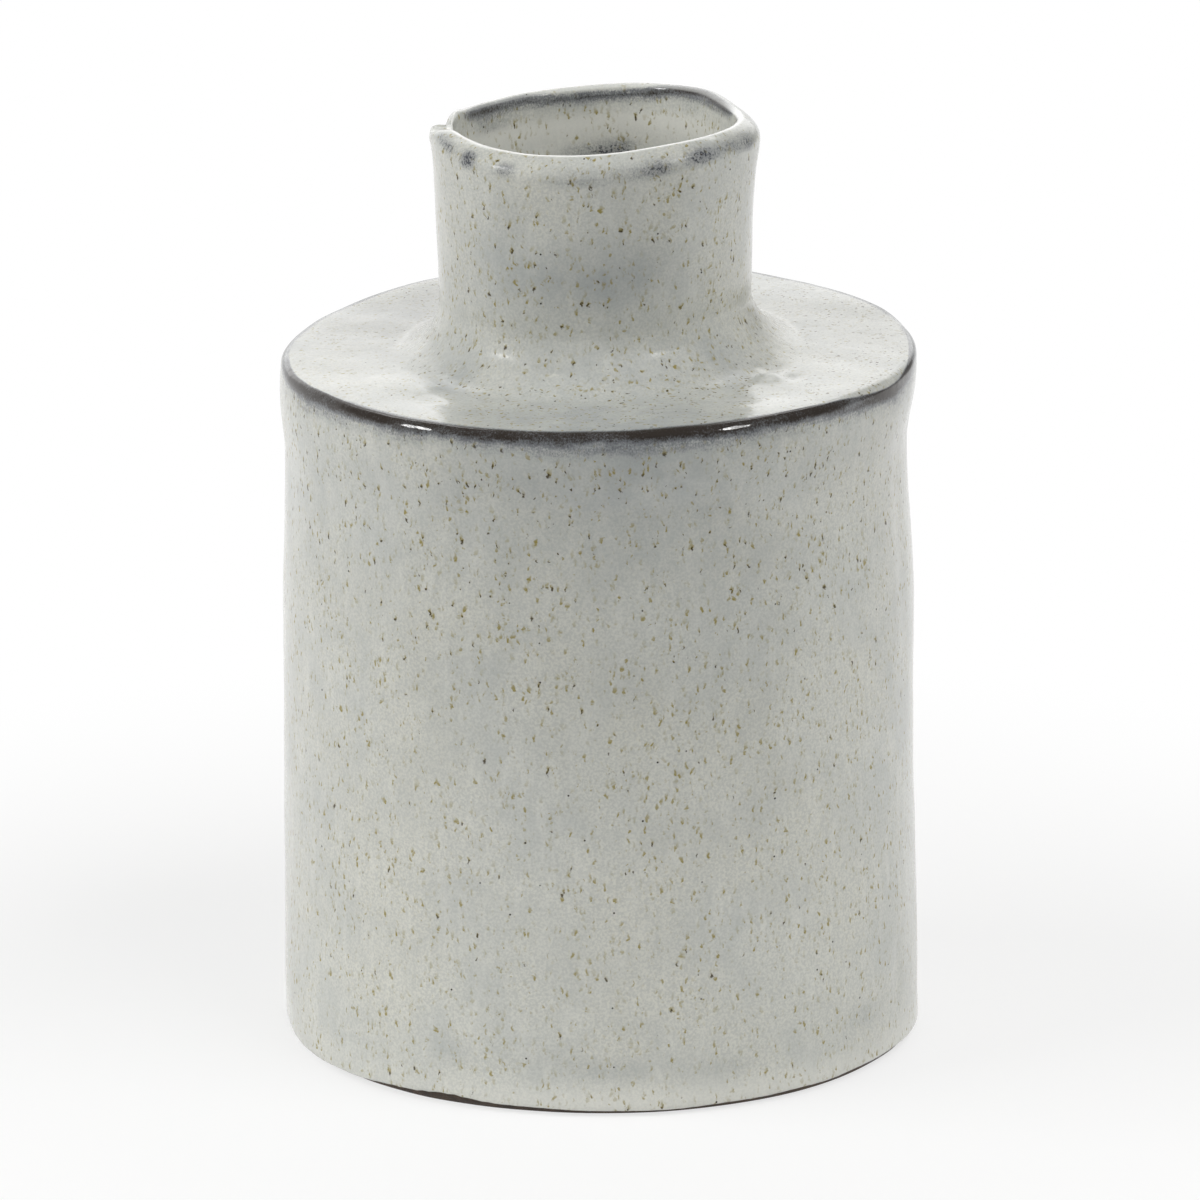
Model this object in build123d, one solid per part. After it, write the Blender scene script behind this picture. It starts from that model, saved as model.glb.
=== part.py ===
from build123d import *

import os
from functools import cache
from math import asin, atan2, cos, degrees, hypot, radians, sin, tan

# Hand-built stoneware bottle vase, in millimetres, +Z up, standing on Z = 0 with its axis through the origin.
#
# It is put together from slabs and coils of clay that are luted face to face: a floor slab, a rolled wall
# that stands on it, a shoulder slab laid over the wall, a rolled neck collar round the slab's hole, and a
# coil pressed into each corner. One coat of glaze covers it inside and outside, down to the bare foot.
#
# Each piece is drawn as a profile of radius and height. The stations of a profile become closed rings, which
# handmade() bends by one shared rule, so pieces that meet on the profile still meet after they are bent.

# Body: a rolled wall on a round floor slab, with its belly, waist and top set in a little from the foot
BODY_RADIUS = 70.0
BODY_HEIGHT = 154.8
BELLY_INSET = 0.7
BELLY_HEIGHT = 98.0
WAIST_INSET = 2.0
WAIST_DROP = 15.0
WALL_THICKNESS = 5.2
FLOOR_THICKNESS = 6.5
FOOT_ROUND = 2.8

# Shoulder: a round slab with a hole, laid on the wall
SHOULDER_INSET = 0.2
SHOULDER_THICKNESS = 5.5
EDGE_ROUND = 1.6
HOLE_ROUND = 1.5

# Neck: a rolled collar that flares a little towards its rounded lip
NECK_RADIUS = 33.4
NECK_HEIGHT = 51.5
NECK_THICKNESS = 4.2
LIP_FLARE = 2.8

# Coils: how far each reaches along both faces of its corner, and its hollow as a share of that reach
NECK_COIL_REACH = 12.0
SHOULDER_COIL_REACH = 8.0
FLOOR_COIL_REACH = 9.0
COIL_HOLLOW = 0.22

# Glaze: its thickness, and where it stops on the rounded foot, in degrees below the horizon
GLAZE_THICKNESS = 0.6
GLAZE_STOP = 38.0

# Irregularities of handwork: sideways shifts, the shoulder's droop, ovals of the plan, and tilts in degrees
FOOT_SHIFT = 0.3
BELLY_SHIFT = -0.3
WAIST_SHIFT = -0.85
NECK_SHIFT = -0.9
SHOULDER_DROOP = 0.55
SHOULDER_OVAL = 0.75
SHOULDER_OVAL_TOWARDS = 58.0
LIP_OVAL = 1.05
LIP_OVAL_TOWARDS = 99.0
SHOULDER_TILT = 0.8
SHOULDER_TILT_TOWARDS = 30.0
LIP_TILT = 3.0
LIP_TILT_TOWARDS = -45.0

# Fineness: points on a ring, stations on a round, a lip, a wall and a plain run, and decimals of a station
RING_POINTS = 24
ROUND_STATIONS = 5
LIP_STATIONS = 7
WALL_STATIONS = 8
RUN_STATIONS = 3
DECIMALS = 6

# Straight land that a round leaves on the edge of its slab
LEAST_LAND = 0.5

# Heights and radii that follow from the sizes above
shoulder_underside = BODY_HEIGHT - SHOULDER_THICKNESS
waist_height = shoulder_underside - WAIST_DROP
lip_height = BODY_HEIGHT + NECK_HEIGHT
lip_round = NECK_THICKNESS / 2
lip_start = lip_height - lip_round
lip_radius = NECK_RADIUS + LIP_FLARE
hole_radius = NECK_RADIUS - NECK_THICKNESS
shoulder_radius = BODY_RADIUS - SHOULDER_INSET
foot_round = min(FOOT_ROUND, FLOOR_THICKNESS - LEAST_LAND)
edge_round = min(EDGE_ROUND, SHOULDER_THICKNESS - LEAST_LAND)
hole_round = min(HOLE_ROUND, SHOULDER_THICKNESS - LEAST_LAND)


def eased(height, *steps):
    """A value that runs smoothly from one (height, value) step to the next and is level at each."""
    below = steps[0]
    for above in steps[1:]:
        if height <= above[0]:
            share = max(0, (height - below[0]) / (above[0] - below[0]))
            return below[1] + (above[1] - below[1]) * share**2 * (3 - 2 * share)
        below = above
    return below[1]


def wall_radius(height):
    """Outer radius of the clay wall, which narrows upwards to a waist and flares out under the shoulder."""
    return eased(
        height,
        (FLOOR_THICKNESS, BODY_RADIUS),
        (BELLY_HEIGHT, BODY_RADIUS - BELLY_INSET),
        (waist_height, BODY_RADIUS - WAIST_INSET),
        (shoulder_underside, shoulder_radius),
    )


def neck_radius(height):
    """Outer radius of the clay neck, which flares evenly from the shoulder to the lip."""
    return NECK_RADIUS + LIP_FLARE * (height - BODY_HEIGHT) / (lip_start - BODY_HEIGHT)


def handmade(radius, height, angle):
    """The place on the hand-built vase of a point with this radius, height and angle on a true round."""
    shift = eased(
        height,
        (FLOOR_THICKNESS, FOOT_SHIFT),
        (BELLY_HEIGHT, BELLY_SHIFT),
        (waist_height, WAIST_SHIFT),
        (BODY_HEIGHT, 0),
        (BODY_HEIGHT + NECK_COIL_REACH, NECK_SHIFT),
    )
    oval = eased(height, (FLOOR_THICKNESS, 0), (BODY_HEIGHT, SHOULDER_OVAL), (lip_height, LIP_OVAL))
    oval_towards = eased(height, (BODY_HEIGHT, SHOULDER_OVAL_TOWARDS), (lip_height, LIP_OVAL_TOWARDS))
    reach = radius + oval * cos(2 * (angle - radians(oval_towards)))
    tilt = eased(height, (BELLY_HEIGHT, 0), (shoulder_underside, SHOULDER_TILT), (lip_height, LIP_TILT))
    tilt_towards = eased(height, (BODY_HEIGHT, SHOULDER_TILT_TOWARDS), (lip_height, LIP_TILT_TOWARDS))
    rise = radius * tan(radians(tilt)) * cos(angle - radians(tilt_towards))
    droop = eased(height, (BELLY_HEIGHT, 0), (shoulder_underside, SHOULDER_DROOP))
    sag = droop * (radius / shoulder_radius) ** 2 * cos(2 * angle)
    return Vector(reach * cos(angle) + shift, reach * sin(angle), height + rise - sag)


def station(radius, height):
    """A point of the profile, rounded so that stretches that meet share exactly the same point."""
    return round(radius, DECIMALS), round(height, DECIMALS)


def run(start, end, stations=2):
    """Even stations on a straight stretch of the profile."""
    shares = [i / (stations - 1) for i in range(stations)]
    return tuple(
        station(start[0] + (end[0] - start[0]) * share, start[1] + (end[1] - start[1]) * share)
        for share in shares
    )


def arc(centre, radius, start_angle, end_angle, stations=ROUND_STATIONS):
    """Even stations on a round stretch of the profile, by angles in degrees from the outward direction."""
    turns = [radians(start_angle + (end_angle - start_angle) * i / (stations - 1)) for i in range(stations)]
    return tuple(station(centre[0] + radius * cos(turn), centre[1] + radius * sin(turn)) for turn in turns)


def hollow(start, end, reach):
    """Even stations on the hollow face of a corner coil, whose free side is on the left of start to end."""
    along, up = end[0] - start[0], end[1] - start[1]
    half_chord = hypot(along, up) / 2
    depth = COIL_HOLLOW * reach
    radius = (half_chord**2 + depth**2) / (2 * depth)
    away = (radius - depth) / (2 * half_chord)
    centre = ((start[0] + end[0]) / 2 - away * up, (start[1] + end[1]) / 2 + away * along)
    middle = degrees(atan2(-along, up))
    half_turn = degrees(asin(half_chord / radius))
    return arc(centre, radius, middle - half_turn, middle + half_turn)


def wall(start, end, depth):
    """Even stations on the wall, from one height to another, at a depth below its outer face."""
    heights = [height for _, height in run((0, start), (0, end), WALL_STATIONS)]
    return tuple(station(wall_radius(height) - depth, height) for height in heights)


def coated(stretches):
    """The same stretches of the profile, moved out by the glaze's thickness, with mitred corners.

    The profile runs from the middle of the floor over the lip to the foot, so its free side is on its left.
    """
    path = [station(0, FLOOR_THICKNESS), stretches[0][0]]
    for stretch in stretches:
        path += stretch[1:]
    normals = []
    for (radius, height), (next_radius, next_height) in zip(path, path[1:]):
        length = hypot(next_radius - radius, next_height - height)
        normals.append(((height - next_height) / length, (next_radius - radius) / length))
    moved = {}
    for point, before, after in zip(path[1:], normals, normals[1:] + normals[-1:]):
        growth = GLAZE_THICKNESS / (1 + before[0] * after[0] + before[1] * after[1])
        moved[point] = station(*(place + growth * (a + b) for place, a, b in zip(point, before, after)))
    return [tuple(moved[point] for point in stretch) for stretch in stretches]


@cache
def ring(radius, height):
    """The closed curve that a station of the profile becomes."""
    turns = [radians(360 * i / RING_POINTS) for i in range(RING_POINTS)]
    return Wire([Edge.make_spline([handmade(radius, height, turn) for turn in turns], periodic=True)])


@cache
def skin(*stations):
    """The face that runs smoothly through the rings of neighbouring stations."""
    return Shell.make_loft([ring(*place) for place in stations], ruled=len(stations) == 2).face()


@cache
def disc(radius, height):
    """The flat face that fills a ring."""
    return Face(ring(radius, height))


def piece(name, *faces):
    """Close a solid from faces that meet edge to edge, and write it to its own file."""
    solid = Solid(Shell(faces))
    solid.label = name
    export_step(solid, f"parts/{name}.step")


# Places on the profile where pieces meet
foot_edge = station(BODY_RADIUS - foot_round, 0)
wall_foot_outer = station(BODY_RADIUS, FLOOR_THICKNESS)
wall_foot_inner = station(BODY_RADIUS - WALL_THICKNESS, FLOOR_THICKNESS)
wall_top_outer = station(shoulder_radius, shoulder_underside)
wall_top_inner = station(shoulder_radius - WALL_THICKNESS, shoulder_underside)
floor_coil_toe = station(wall_foot_inner[0] - FLOOR_COIL_REACH, FLOOR_THICKNESS)
shoulder_coil_toe = station(wall_top_inner[0] - SHOULDER_COIL_REACH, shoulder_underside)
neck_foot_inner = station(hole_radius, BODY_HEIGHT)
neck_foot_outer = station(NECK_RADIUS, BODY_HEIGHT)
neck_coil_toe = station(NECK_RADIUS + NECK_COIL_REACH, BODY_HEIGHT)
neck_coil_height = BODY_HEIGHT + NECK_COIL_REACH
neck_coil_top = station(neck_radius(neck_coil_height), neck_coil_height)
lip_inner = station(lip_radius - NECK_THICKNESS, lip_start)
lip_outer = station(lip_radius, lip_start)
edge_top = station(shoulder_radius - edge_round, BODY_HEIGHT)
edge_side = station(shoulder_radius, BODY_HEIGHT - edge_round)
hole_below = station(hole_radius + hole_round, shoulder_underside)
hole_side = station(hole_radius, shoulder_underside + hole_round)

# Stretches of the profile that the glaze covers, from the floor over the lip and down to the foot
floor_coil_height = FLOOR_THICKNESS + FLOOR_COIL_REACH
shoulder_coil_height = shoulder_underside - SHOULDER_COIL_REACH
wall_inside = wall(floor_coil_height, shoulder_coil_height, WALL_THICKNESS)
floor_coil_face = hollow(floor_coil_toe, wall_inside[0], FLOOR_COIL_REACH)
shoulder_coil_face = hollow(wall_inside[-1], shoulder_coil_toe, SHOULDER_COIL_REACH)
shoulder_below = run(shoulder_coil_toe, hole_below, RUN_STATIONS)
hole_edge = arc((hole_below[0], hole_side[1]), hole_round, 270, 180)
hole_bore = run(hole_side, neck_foot_inner)
neck_inside = run(neck_foot_inner, lip_inner, RUN_STATIONS)
lip = arc((lip_radius - lip_round, lip_start), lip_round, 180, 0, LIP_STATIONS)
neck_outside = run(lip_outer, neck_coil_top, RUN_STATIONS)
neck_coil_face = hollow(neck_coil_top, neck_coil_toe, NECK_COIL_REACH)
shoulder_above = run(neck_coil_toe, edge_top, RUN_STATIONS)
shoulder_edge = arc((edge_top[0], edge_side[1]), edge_round, 90, 0)
shoulder_side = run(edge_side, wall_top_outer)
wall_outside = wall(shoulder_underside, FLOOR_THICKNESS, 0)
floor_side = run(wall_foot_outer, (BODY_RADIUS, foot_round))
foot_glazed = arc((BODY_RADIUS - foot_round, foot_round), foot_round, 0, -GLAZE_STOP)
foot_bare = arc((BODY_RADIUS - foot_round, foot_round), foot_round, -GLAZE_STOP, -90)

covered = [
    floor_coil_face,
    wall_inside,
    shoulder_coil_face,
    shoulder_below,
    hole_edge,
    hole_bore,
    neck_inside,
    lip,
    neck_outside,
    neck_coil_face,
    shoulder_above,
    shoulder_edge,
    shoulder_side,
    wall_outside,
    floor_side,
    foot_glazed,
]
glaze_face = coated(covered)

# Faces where two pieces are luted together
wall_on_floor = skin(wall_foot_outer, wall_foot_inner)
floor_coil_on_floor = skin(wall_foot_inner, floor_coil_toe)
floor_coil_on_wall = skin(wall_foot_inner, wall_inside[0])
shoulder_on_wall = skin(wall_top_outer, wall_top_inner)
shoulder_coil_on_wall = skin(wall_inside[-1], wall_top_inner)
shoulder_coil_on_slab = skin(wall_top_inner, shoulder_coil_toe)
neck_on_shoulder = skin(neck_foot_inner, neck_foot_outer)
neck_coil_on_shoulder = skin(neck_foot_outer, neck_coil_toe)
neck_coil_on_neck = skin(neck_foot_outer, neck_coil_top)

os.makedirs("parts", exist_ok=True)

piece(
    "base_slab",
    disc(*foot_edge),
    skin(*foot_bare),
    skin(*foot_glazed),
    skin(*floor_side),
    disc(*wall_foot_outer),
)
piece(
    "body_wall",
    wall_on_floor,
    skin(*wall_outside),
    shoulder_on_wall,
    shoulder_coil_on_wall,
    skin(*wall_inside),
    floor_coil_on_wall,
)
piece("floor_coil", floor_coil_on_floor, floor_coil_on_wall, skin(*floor_coil_face))
piece("shoulder_coil", shoulder_coil_on_slab, shoulder_coil_on_wall, skin(*shoulder_coil_face))
piece(
    "shoulder_slab",
    shoulder_on_wall,
    shoulder_coil_on_slab,
    skin(*shoulder_below),
    skin(*hole_edge),
    skin(*hole_bore),
    neck_on_shoulder,
    neck_coil_on_shoulder,
    skin(*shoulder_above),
    skin(*shoulder_edge),
    skin(*shoulder_side),
)
piece(
    "neck_collar",
    neck_on_shoulder,
    skin(*neck_inside),
    skin(*lip),
    skin(*neck_outside),
    neck_coil_on_neck,
)
piece("neck_coil", neck_coil_on_shoulder, neck_coil_on_neck, skin(*neck_coil_face))
piece(
    "glaze_coat",
    disc(*floor_coil_toe),
    *(skin(*stretch) for stretch in covered),
    skin(foot_glazed[-1], glaze_face[-1][-1]),
    *(skin(*stretch) for stretch in glaze_face),
    disc(*glaze_face[0][0]),
)
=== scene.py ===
"""Looks of a hand-built stoneware bottle vase: its slabs and coils of clay, its glaze, and a plain studio.

Sizes are in millimetres, as in the solids, and meshes are written in metres. Each piece is a profile of
radius and height carried round the axis. One shared rule of handwork bends every point, so pieces that
meet on the profile still meet on the vase. Angles are 0 at the right, 90 behind and 270 in front.
"""

import logging
import math
from dataclasses import dataclass, field
from enum import Enum
from typing import NamedTuple

import bpy
import numpy as np
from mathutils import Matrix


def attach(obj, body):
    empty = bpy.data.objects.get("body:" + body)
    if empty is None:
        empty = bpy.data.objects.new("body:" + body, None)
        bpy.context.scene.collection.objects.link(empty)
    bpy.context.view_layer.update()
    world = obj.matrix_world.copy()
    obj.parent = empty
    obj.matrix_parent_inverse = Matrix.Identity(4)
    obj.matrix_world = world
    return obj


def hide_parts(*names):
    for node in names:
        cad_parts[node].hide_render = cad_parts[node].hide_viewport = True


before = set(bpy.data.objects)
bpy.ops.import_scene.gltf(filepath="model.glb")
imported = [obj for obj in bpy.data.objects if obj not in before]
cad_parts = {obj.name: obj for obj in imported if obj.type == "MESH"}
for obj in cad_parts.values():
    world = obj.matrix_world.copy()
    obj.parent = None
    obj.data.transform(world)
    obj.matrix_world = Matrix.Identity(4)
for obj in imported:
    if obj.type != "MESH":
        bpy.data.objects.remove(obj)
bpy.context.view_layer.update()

Array = np.ndarray
Station = tuple[float, float]
Colour = tuple[float, float, float]
Place = tuple[float, float, float]
Socket = bpy.types.NodeSocket
Sockets = bpy.types.bpy_prop_collection

METRES = 0.001
TURN = 2.0 * math.pi
BODY = "root"
LOG = logging.getLogger("bottle_vase")


class Slot(Enum):
    """Material slots that the pieces take their finish from."""

    STONEWARE = "stoneware"
    GLAZE = "glaze"


class Mask(Enum):
    """Values that the glaze carries at each vertex, for its material."""

    THIN = "thin"
    SMOKE = "smoke"
    # Cream where the glaze pools, and painted light that brightens the inside of the neck.
    POOL_AND_LIGHT = "pool_and_light"
    # Blue-grey cloudy glaze, and painted shade on the body's front, the shoulder's front, the cove and the
    # foot's dents.
    CLOUD_AND_SHADE = "cloud"
    SATIN = "satin"
    # Painted highlight: a white line along the lip's crest.
    CREST_HIGHLIGHT = "crest_highlight"


class Gives(Enum):
    """What a lamp gives: soft light on surfaces, or only a reflection in their gloss."""

    LIGHT = "light"
    GLINT = "glint"


class Points(NamedTuple):
    """Points on the true round: their radii and heights, and their angles in radians."""

    radius: Array
    height: Array
    angle: Array


def eased(at: Array, *steps: Station) -> Array:
    """Run a value smoothly from step to step: a smoothstep of the share of the way, level at each step.

    Args:
        at: Where to read the value.
        steps: Pairs of place and value, lowest place first.

    Returns:
        The value at each place, held level below the first step and above the last.
    """
    places, values = np.array(steps, float).T
    index = np.clip(np.searchsorted(places, at, side="right") - 1, 0, len(places) - 2)
    share = np.clip((at - places[index]) / (places[index + 1] - places[index]), 0.0, 1.0)
    return values[index] + (values[index + 1] - values[index]) * share**2 * (3.0 - 2.0 * share)


def turn_from(angle: Array, towards: float) -> Array:
    """Turn from a direction in degrees to an angle, in radians and at most half a turn either way."""
    return (angle - math.radians(towards) + math.pi) % TURN - math.pi


def degrees_from(angle: Array, towards: float) -> Array:
    """Turn from a direction in degrees to an angle in radians, in degrees."""
    return np.degrees(turn_from(angle, towards))


def hill(distance: Array, spread: float) -> Array:
    """Height of a smooth hill that is 1 at its top: e to the minus square of distance over spread."""
    return np.exp(-((distance / spread) ** 2))


def line(start: Station, end: Station, count: int) -> Array:
    """Even stations on a straight stretch: start plus a growing share of the way to end."""
    return np.linspace(start, end, count)


def arc(centre: Station, radius: float, start: float, end: float, count: int) -> Array:
    """Even stations on a round stretch: centre plus radius times cosine and sine of the turn in degrees."""
    turns = np.radians(np.linspace(start, end, count))
    return np.stack([centre[0] + radius * np.cos(turns), centre[1] + radius * np.sin(turns)], axis=1)


def joined(*stretches: Array) -> Array:
    """One profile from stretches that follow each other, with the shared stations kept once."""
    return np.concatenate([stretch[:-1] for stretch in stretches[:-1]] + [stretches[-1]])


def lengths_along(profile: Array) -> Array:
    """Length of the way along a profile at each station: the running sum of its chords."""
    chords = np.hypot(*np.diff(profile, axis=0).T)
    return np.concatenate([[0.0], np.cumsum(chords)])


def left_normals(profile: Array) -> Array:
    """Unit normals on the left of a profile: its running slope turned a quarter turn to the left.

    Args:
        profile: Stations as rows of radius and height.

    Returns:
        The normal at each station, as rows of radius and height.
    """
    slope = np.gradient(profile, lengths_along(profile), axis=0)
    slope /= np.linalg.norm(slope, axis=1, keepdims=True)
    return np.stack([-slope[:, 1], slope[:, 0]], axis=1)


@dataclass(frozen=True)
class Coil:
    """A coil pressed into a corner: where its hollow face starts and ends, and how deep the hollow is."""

    start: Station
    end: Station
    depth: float

    def face(self, count: int) -> Array:
        """Even stations on the hollow face: the arc through start and end that is as deep as the hollow.

        Args:
            count: Number of stations.

        Returns:
            The stations as rows of radius and height, with the free side on the left.
        """
        along, up = self.end[0] - self.start[0], self.end[1] - self.start[1]
        half_chord = math.hypot(along, up) / 2.0
        radius = (half_chord**2 + self.depth**2) / (2.0 * self.depth)
        away = (radius - self.depth) / (2.0 * half_chord)
        middle = ((self.start[0] + self.end[0]) / 2.0, (self.start[1] + self.end[1]) / 2.0)
        centre = (middle[0] - away * up, middle[1] + away * along)
        towards = math.degrees(math.atan2(-along, up))
        half_turn = math.degrees(math.asin(half_chord / radius))
        return arc(centre, radius, towards - half_turn, towards + half_turn, count)


@dataclass(frozen=True)
class Form:
    """Sizes of the clay vase in millimetres, the same as in the solids, and the profile that follows."""

    body_radius: float = 70.0
    body_height: float = 154.8
    belly_inset: float = 0.7
    belly_height: float = 98.0
    waist_inset: float = 2.0
    waist_drop: float = 15.0
    wall_thickness: float = 5.2
    floor_thickness: float = 6.5
    foot_round: float = 2.8
    shoulder_inset: float = 0.2
    shoulder_thickness: float = 5.5
    edge_round: float = 1.6
    hole_round: float = 1.5
    neck_radius: float = 33.4
    neck_height: float = 51.5
    neck_thickness: float = 4.2
    lip_flare: float = 2.8
    neck_coil_reach: float = 12.0
    shoulder_coil_reach: float = 8.0
    floor_coil_reach: float = 9.0
    coil_hollow: float = 0.22
    glaze_thickness: float = 0.6
    edge_thinning: float = 0.3

    @property
    def shoulder_underside(self) -> float:
        """Height of the shoulder slab's lower face."""
        return self.body_height - self.shoulder_thickness

    @property
    def waist_height(self) -> float:
        """Height where the wall is narrowest."""
        return self.shoulder_underside - self.waist_drop

    @property
    def shoulder_radius(self) -> float:
        """Radius of the shoulder slab."""
        return self.body_radius - self.shoulder_inset

    @property
    def lip_height(self) -> float:
        """Height of the lip's crest."""
        return self.body_height + self.neck_height

    @property
    def lip_round(self) -> float:
        """Radius of the lip's round."""
        return self.neck_thickness / 2.0

    @property
    def lip_start(self) -> float:
        """Height where the lip's round begins."""
        return self.lip_height - self.lip_round

    @property
    def lip_radius(self) -> float:
        """Outer radius of the lip."""
        return self.neck_radius + self.lip_flare

    @property
    def hole_radius(self) -> float:
        """Radius of the hole in the shoulder slab, which is also the neck's inner radius at its foot."""
        return self.neck_radius - self.neck_thickness

    @property
    def coil_top(self) -> float:
        """Height that the coil at the neck's foot reaches."""
        return self.body_height + self.neck_coil_reach

    @property
    def edge_glaze(self) -> float:
        """Thickness of the glaze over the shoulder's edge."""
        return self.glaze_thickness * (1.0 - self.edge_thinning)

    def wall_radius(self, height: Array) -> Array:
        """Outer radius of the wall: eased from the foot to the belly, the waist and the shoulder.

        Args:
            height: Heights on the wall.

        Returns:
            The radius at each height.
        """
        return eased(
            height,
            (self.floor_thickness, self.body_radius),
            (self.belly_height, self.body_radius - self.belly_inset),
            (self.waist_height, self.body_radius - self.waist_inset),
            (self.shoulder_underside, self.shoulder_radius),
        )

    def collar_radius(self, height: Array) -> Array:
        """Outer radius of the neck: an even flare from its foot to the lip."""
        share = (height - self.body_height) / (self.lip_start - self.body_height)
        return self.neck_radius + self.lip_flare * share

    def wall(self, start: float, end: float, depth: float, count: int) -> Array:
        """Stations on the wall from one height to another, at a depth below its outer face."""
        heights = np.linspace(start, end, count)
        return np.stack([self.wall_radius(heights) - depth, heights], axis=1)

    @property
    def floor_coil(self) -> Coil:
        """Coil in the corner of floor and wall, from its toe on the floor to its top on the wall."""
        reach = self.floor_coil_reach
        height = self.floor_thickness + reach
        toe = (self.body_radius - self.wall_thickness - reach, self.floor_thickness)
        top = (float(self.wall_radius(height)) - self.wall_thickness, height)
        return Coil(toe, top, self.coil_hollow * reach)

    @property
    def shoulder_coil(self) -> Coil:
        """Coil in the corner of wall and shoulder, from its foot on the wall to its toe under the slab."""
        reach = self.shoulder_coil_reach
        height = self.shoulder_underside - reach
        foot = (float(self.wall_radius(height)) - self.wall_thickness, height)
        toe = (self.shoulder_radius - self.wall_thickness - reach, self.shoulder_underside)
        return Coil(foot, toe, self.coil_hollow * reach)

    @property
    def neck_coil(self) -> Coil:
        """Coil round the neck's foot, from its top on the neck to its toe on the shoulder slab."""
        top = (float(self.collar_radius(self.coil_top)), self.coil_top)
        toe = (self.neck_radius + self.neck_coil_reach, self.body_height)
        return Coil(top, toe, self.coil_hollow * self.neck_coil_reach)

    def wall_inside(self, count: int) -> Array:
        """Inner face of the wall between its two coils."""
        return self.wall(self.floor_coil.end[1], self.shoulder_coil.start[1], self.wall_thickness, count)

    def shoulder_hole(self, run: int, rounding: int, bore: int) -> Array:
        """Underside of the shoulder slab from its coil, over the hole's round and up its bore.

        Args:
            run: Number of stations on the underside.
            rounding: Number of stations on the round.
            bore: Number of stations on the bore.

        Returns:
            The stations as rows of radius and height.
        """
        below = (self.hole_radius + self.hole_round, self.shoulder_underside)
        centre = (below[0], self.shoulder_underside + self.hole_round)
        return joined(
            line(self.shoulder_coil.end, below, run),
            arc(centre, self.hole_round, 270.0, 180.0, rounding),
            line((self.hole_radius, centre[1]), (self.hole_radius, self.body_height), bore),
        )

    def neck_inside(self, count: int) -> Array:
        """Inner face of the neck, from its foot to the lip: the shares of the way are square roots.

        Args:
            count: Number of stations.

        Returns:
            The stations as rows of radius and height, closer together towards the lip.
        """
        share = np.sqrt(np.linspace(0.0, 1.0, count))[:, None]
        foot = np.array([self.hole_radius, self.body_height])
        top = np.array([self.lip_radius - self.neck_thickness, self.lip_start])
        return foot + (top - foot) * share

    def lip(self, count: int) -> Array:
        """Round of the lip, from the inside over the crest to the outside."""
        centre = (self.lip_radius - self.lip_round, self.lip_start)
        return arc(centre, self.lip_round, 180.0, 0.0, count)

    def neck_outside(self, count: int) -> Array:
        """Outer face of the neck, from the lip to the neck coil: the shares of the way are powers of 1.5.

        Args:
            count: Number of stations.

        Returns:
            The stations as rows of radius and height, closer together towards the lip.
        """
        share = np.linspace(0.0, 1.0, count)[:, None] ** 1.5
        top = np.array([self.lip_radius, self.lip_start])
        return top + (np.array(self.neck_coil.start) - top) * share

    def shoulder_outside(self, top: int, rounding: int, side: int) -> Array:
        """Top of the shoulder slab from the neck coil, over its rounded edge and down its side.

        Args:
            top: Number of stations on the top.
            rounding: Number of stations on the edge.
            side: Number of stations on the side.

        Returns:
            The stations as rows of radius and height.
        """
        edge = self.shoulder_radius - self.edge_round
        centre = (edge, self.body_height - self.edge_round)
        return joined(
            line(self.neck_coil.end, (edge, self.body_height), top),
            arc(centre, self.edge_round, 90.0, 0.0, rounding),
            line((self.shoulder_radius, centre[1]), (self.shoulder_radius, self.shoulder_underside), side),
        )


@dataclass(frozen=True)
class Spot:
    """A soft place on the vase: angle, radius and height of its middle, and its spreads in millimetres."""

    angle: float
    radius: float
    height: float
    around: float
    across: float

    def weight(self, at: Points) -> Array:
        """Share of the spot at each point: a hill along the ring times a hill across the profile.

        Args:
            at: Points on the true round.

        Returns:
            The share at each point, 1 in the middle of the spot.
        """
        along = turn_from(at.angle, self.angle) * self.radius
        across = np.hypot(at.radius - self.radius, at.height - self.height)
        return hill(along, self.around) * hill(across, self.across)


@dataclass(frozen=True)
class Press(Spot):
    """A place where a hand pressed or lifted the clay, with its push in millimetres."""

    out: float = 0.0
    up: float = 0.0


@dataclass(frozen=True)
class CloudAndShade(Spot):
    """A blue-grey patch laid into the glaze's colour, with its strength; some stand for cloudy glaze and
    some are painted shade.
    """

    strength: float = 0.5


@dataclass(frozen=True)
class Lap:
    """Lap of the neck strip: behind its edge the outer face is set back, in millimetres and degrees."""

    at: float = 178.0
    edge: float = 0.9
    run: float = 45.0
    depth: float = 3.2
    drop: float = 13.0
    run_before: float = 42.0

    def before(self, angle: Array) -> Array:
        """Share of the strip's free end: full at the lap's edge, and running out before it."""
        turn = degrees_from(angle, self.at)
        return eased(turn, (-self.edge, 0.0), (0.0, 1.0), (self.run_before, 0.0))

    def behind(self, angle: Array) -> Array:
        """Share of the lap at each angle: steep at the edge, and running out behind it as a square."""
        turn = -degrees_from(angle, self.at)
        return eased(turn, (0.0, 0.0), (self.edge, 1.0)) * np.clip(1.0 - turn / self.run, 0.0, 1.0) ** 2

    def set_back(self, form: Form, at: Points) -> Array:
        """Set-back of each point: the share of the lap, fading down and inwards.

        Args:
            form: Sizes of the vase.
            at: Points on the true round.

        Returns:
            The set-back, full at the outer face of the lip and none at the inner one.
        """
        outer = form.collar_radius(np.minimum(at.height, form.lip_start))
        share = np.clip((at.radius - outer) / form.neck_thickness + 1.0, 0.0, 1.0)
        drop = eased(at.height, (form.lip_height - self.drop, 0.0), (form.lip_start, 1.0))
        return self.depth * self.behind(at.angle) * share * drop


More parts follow.
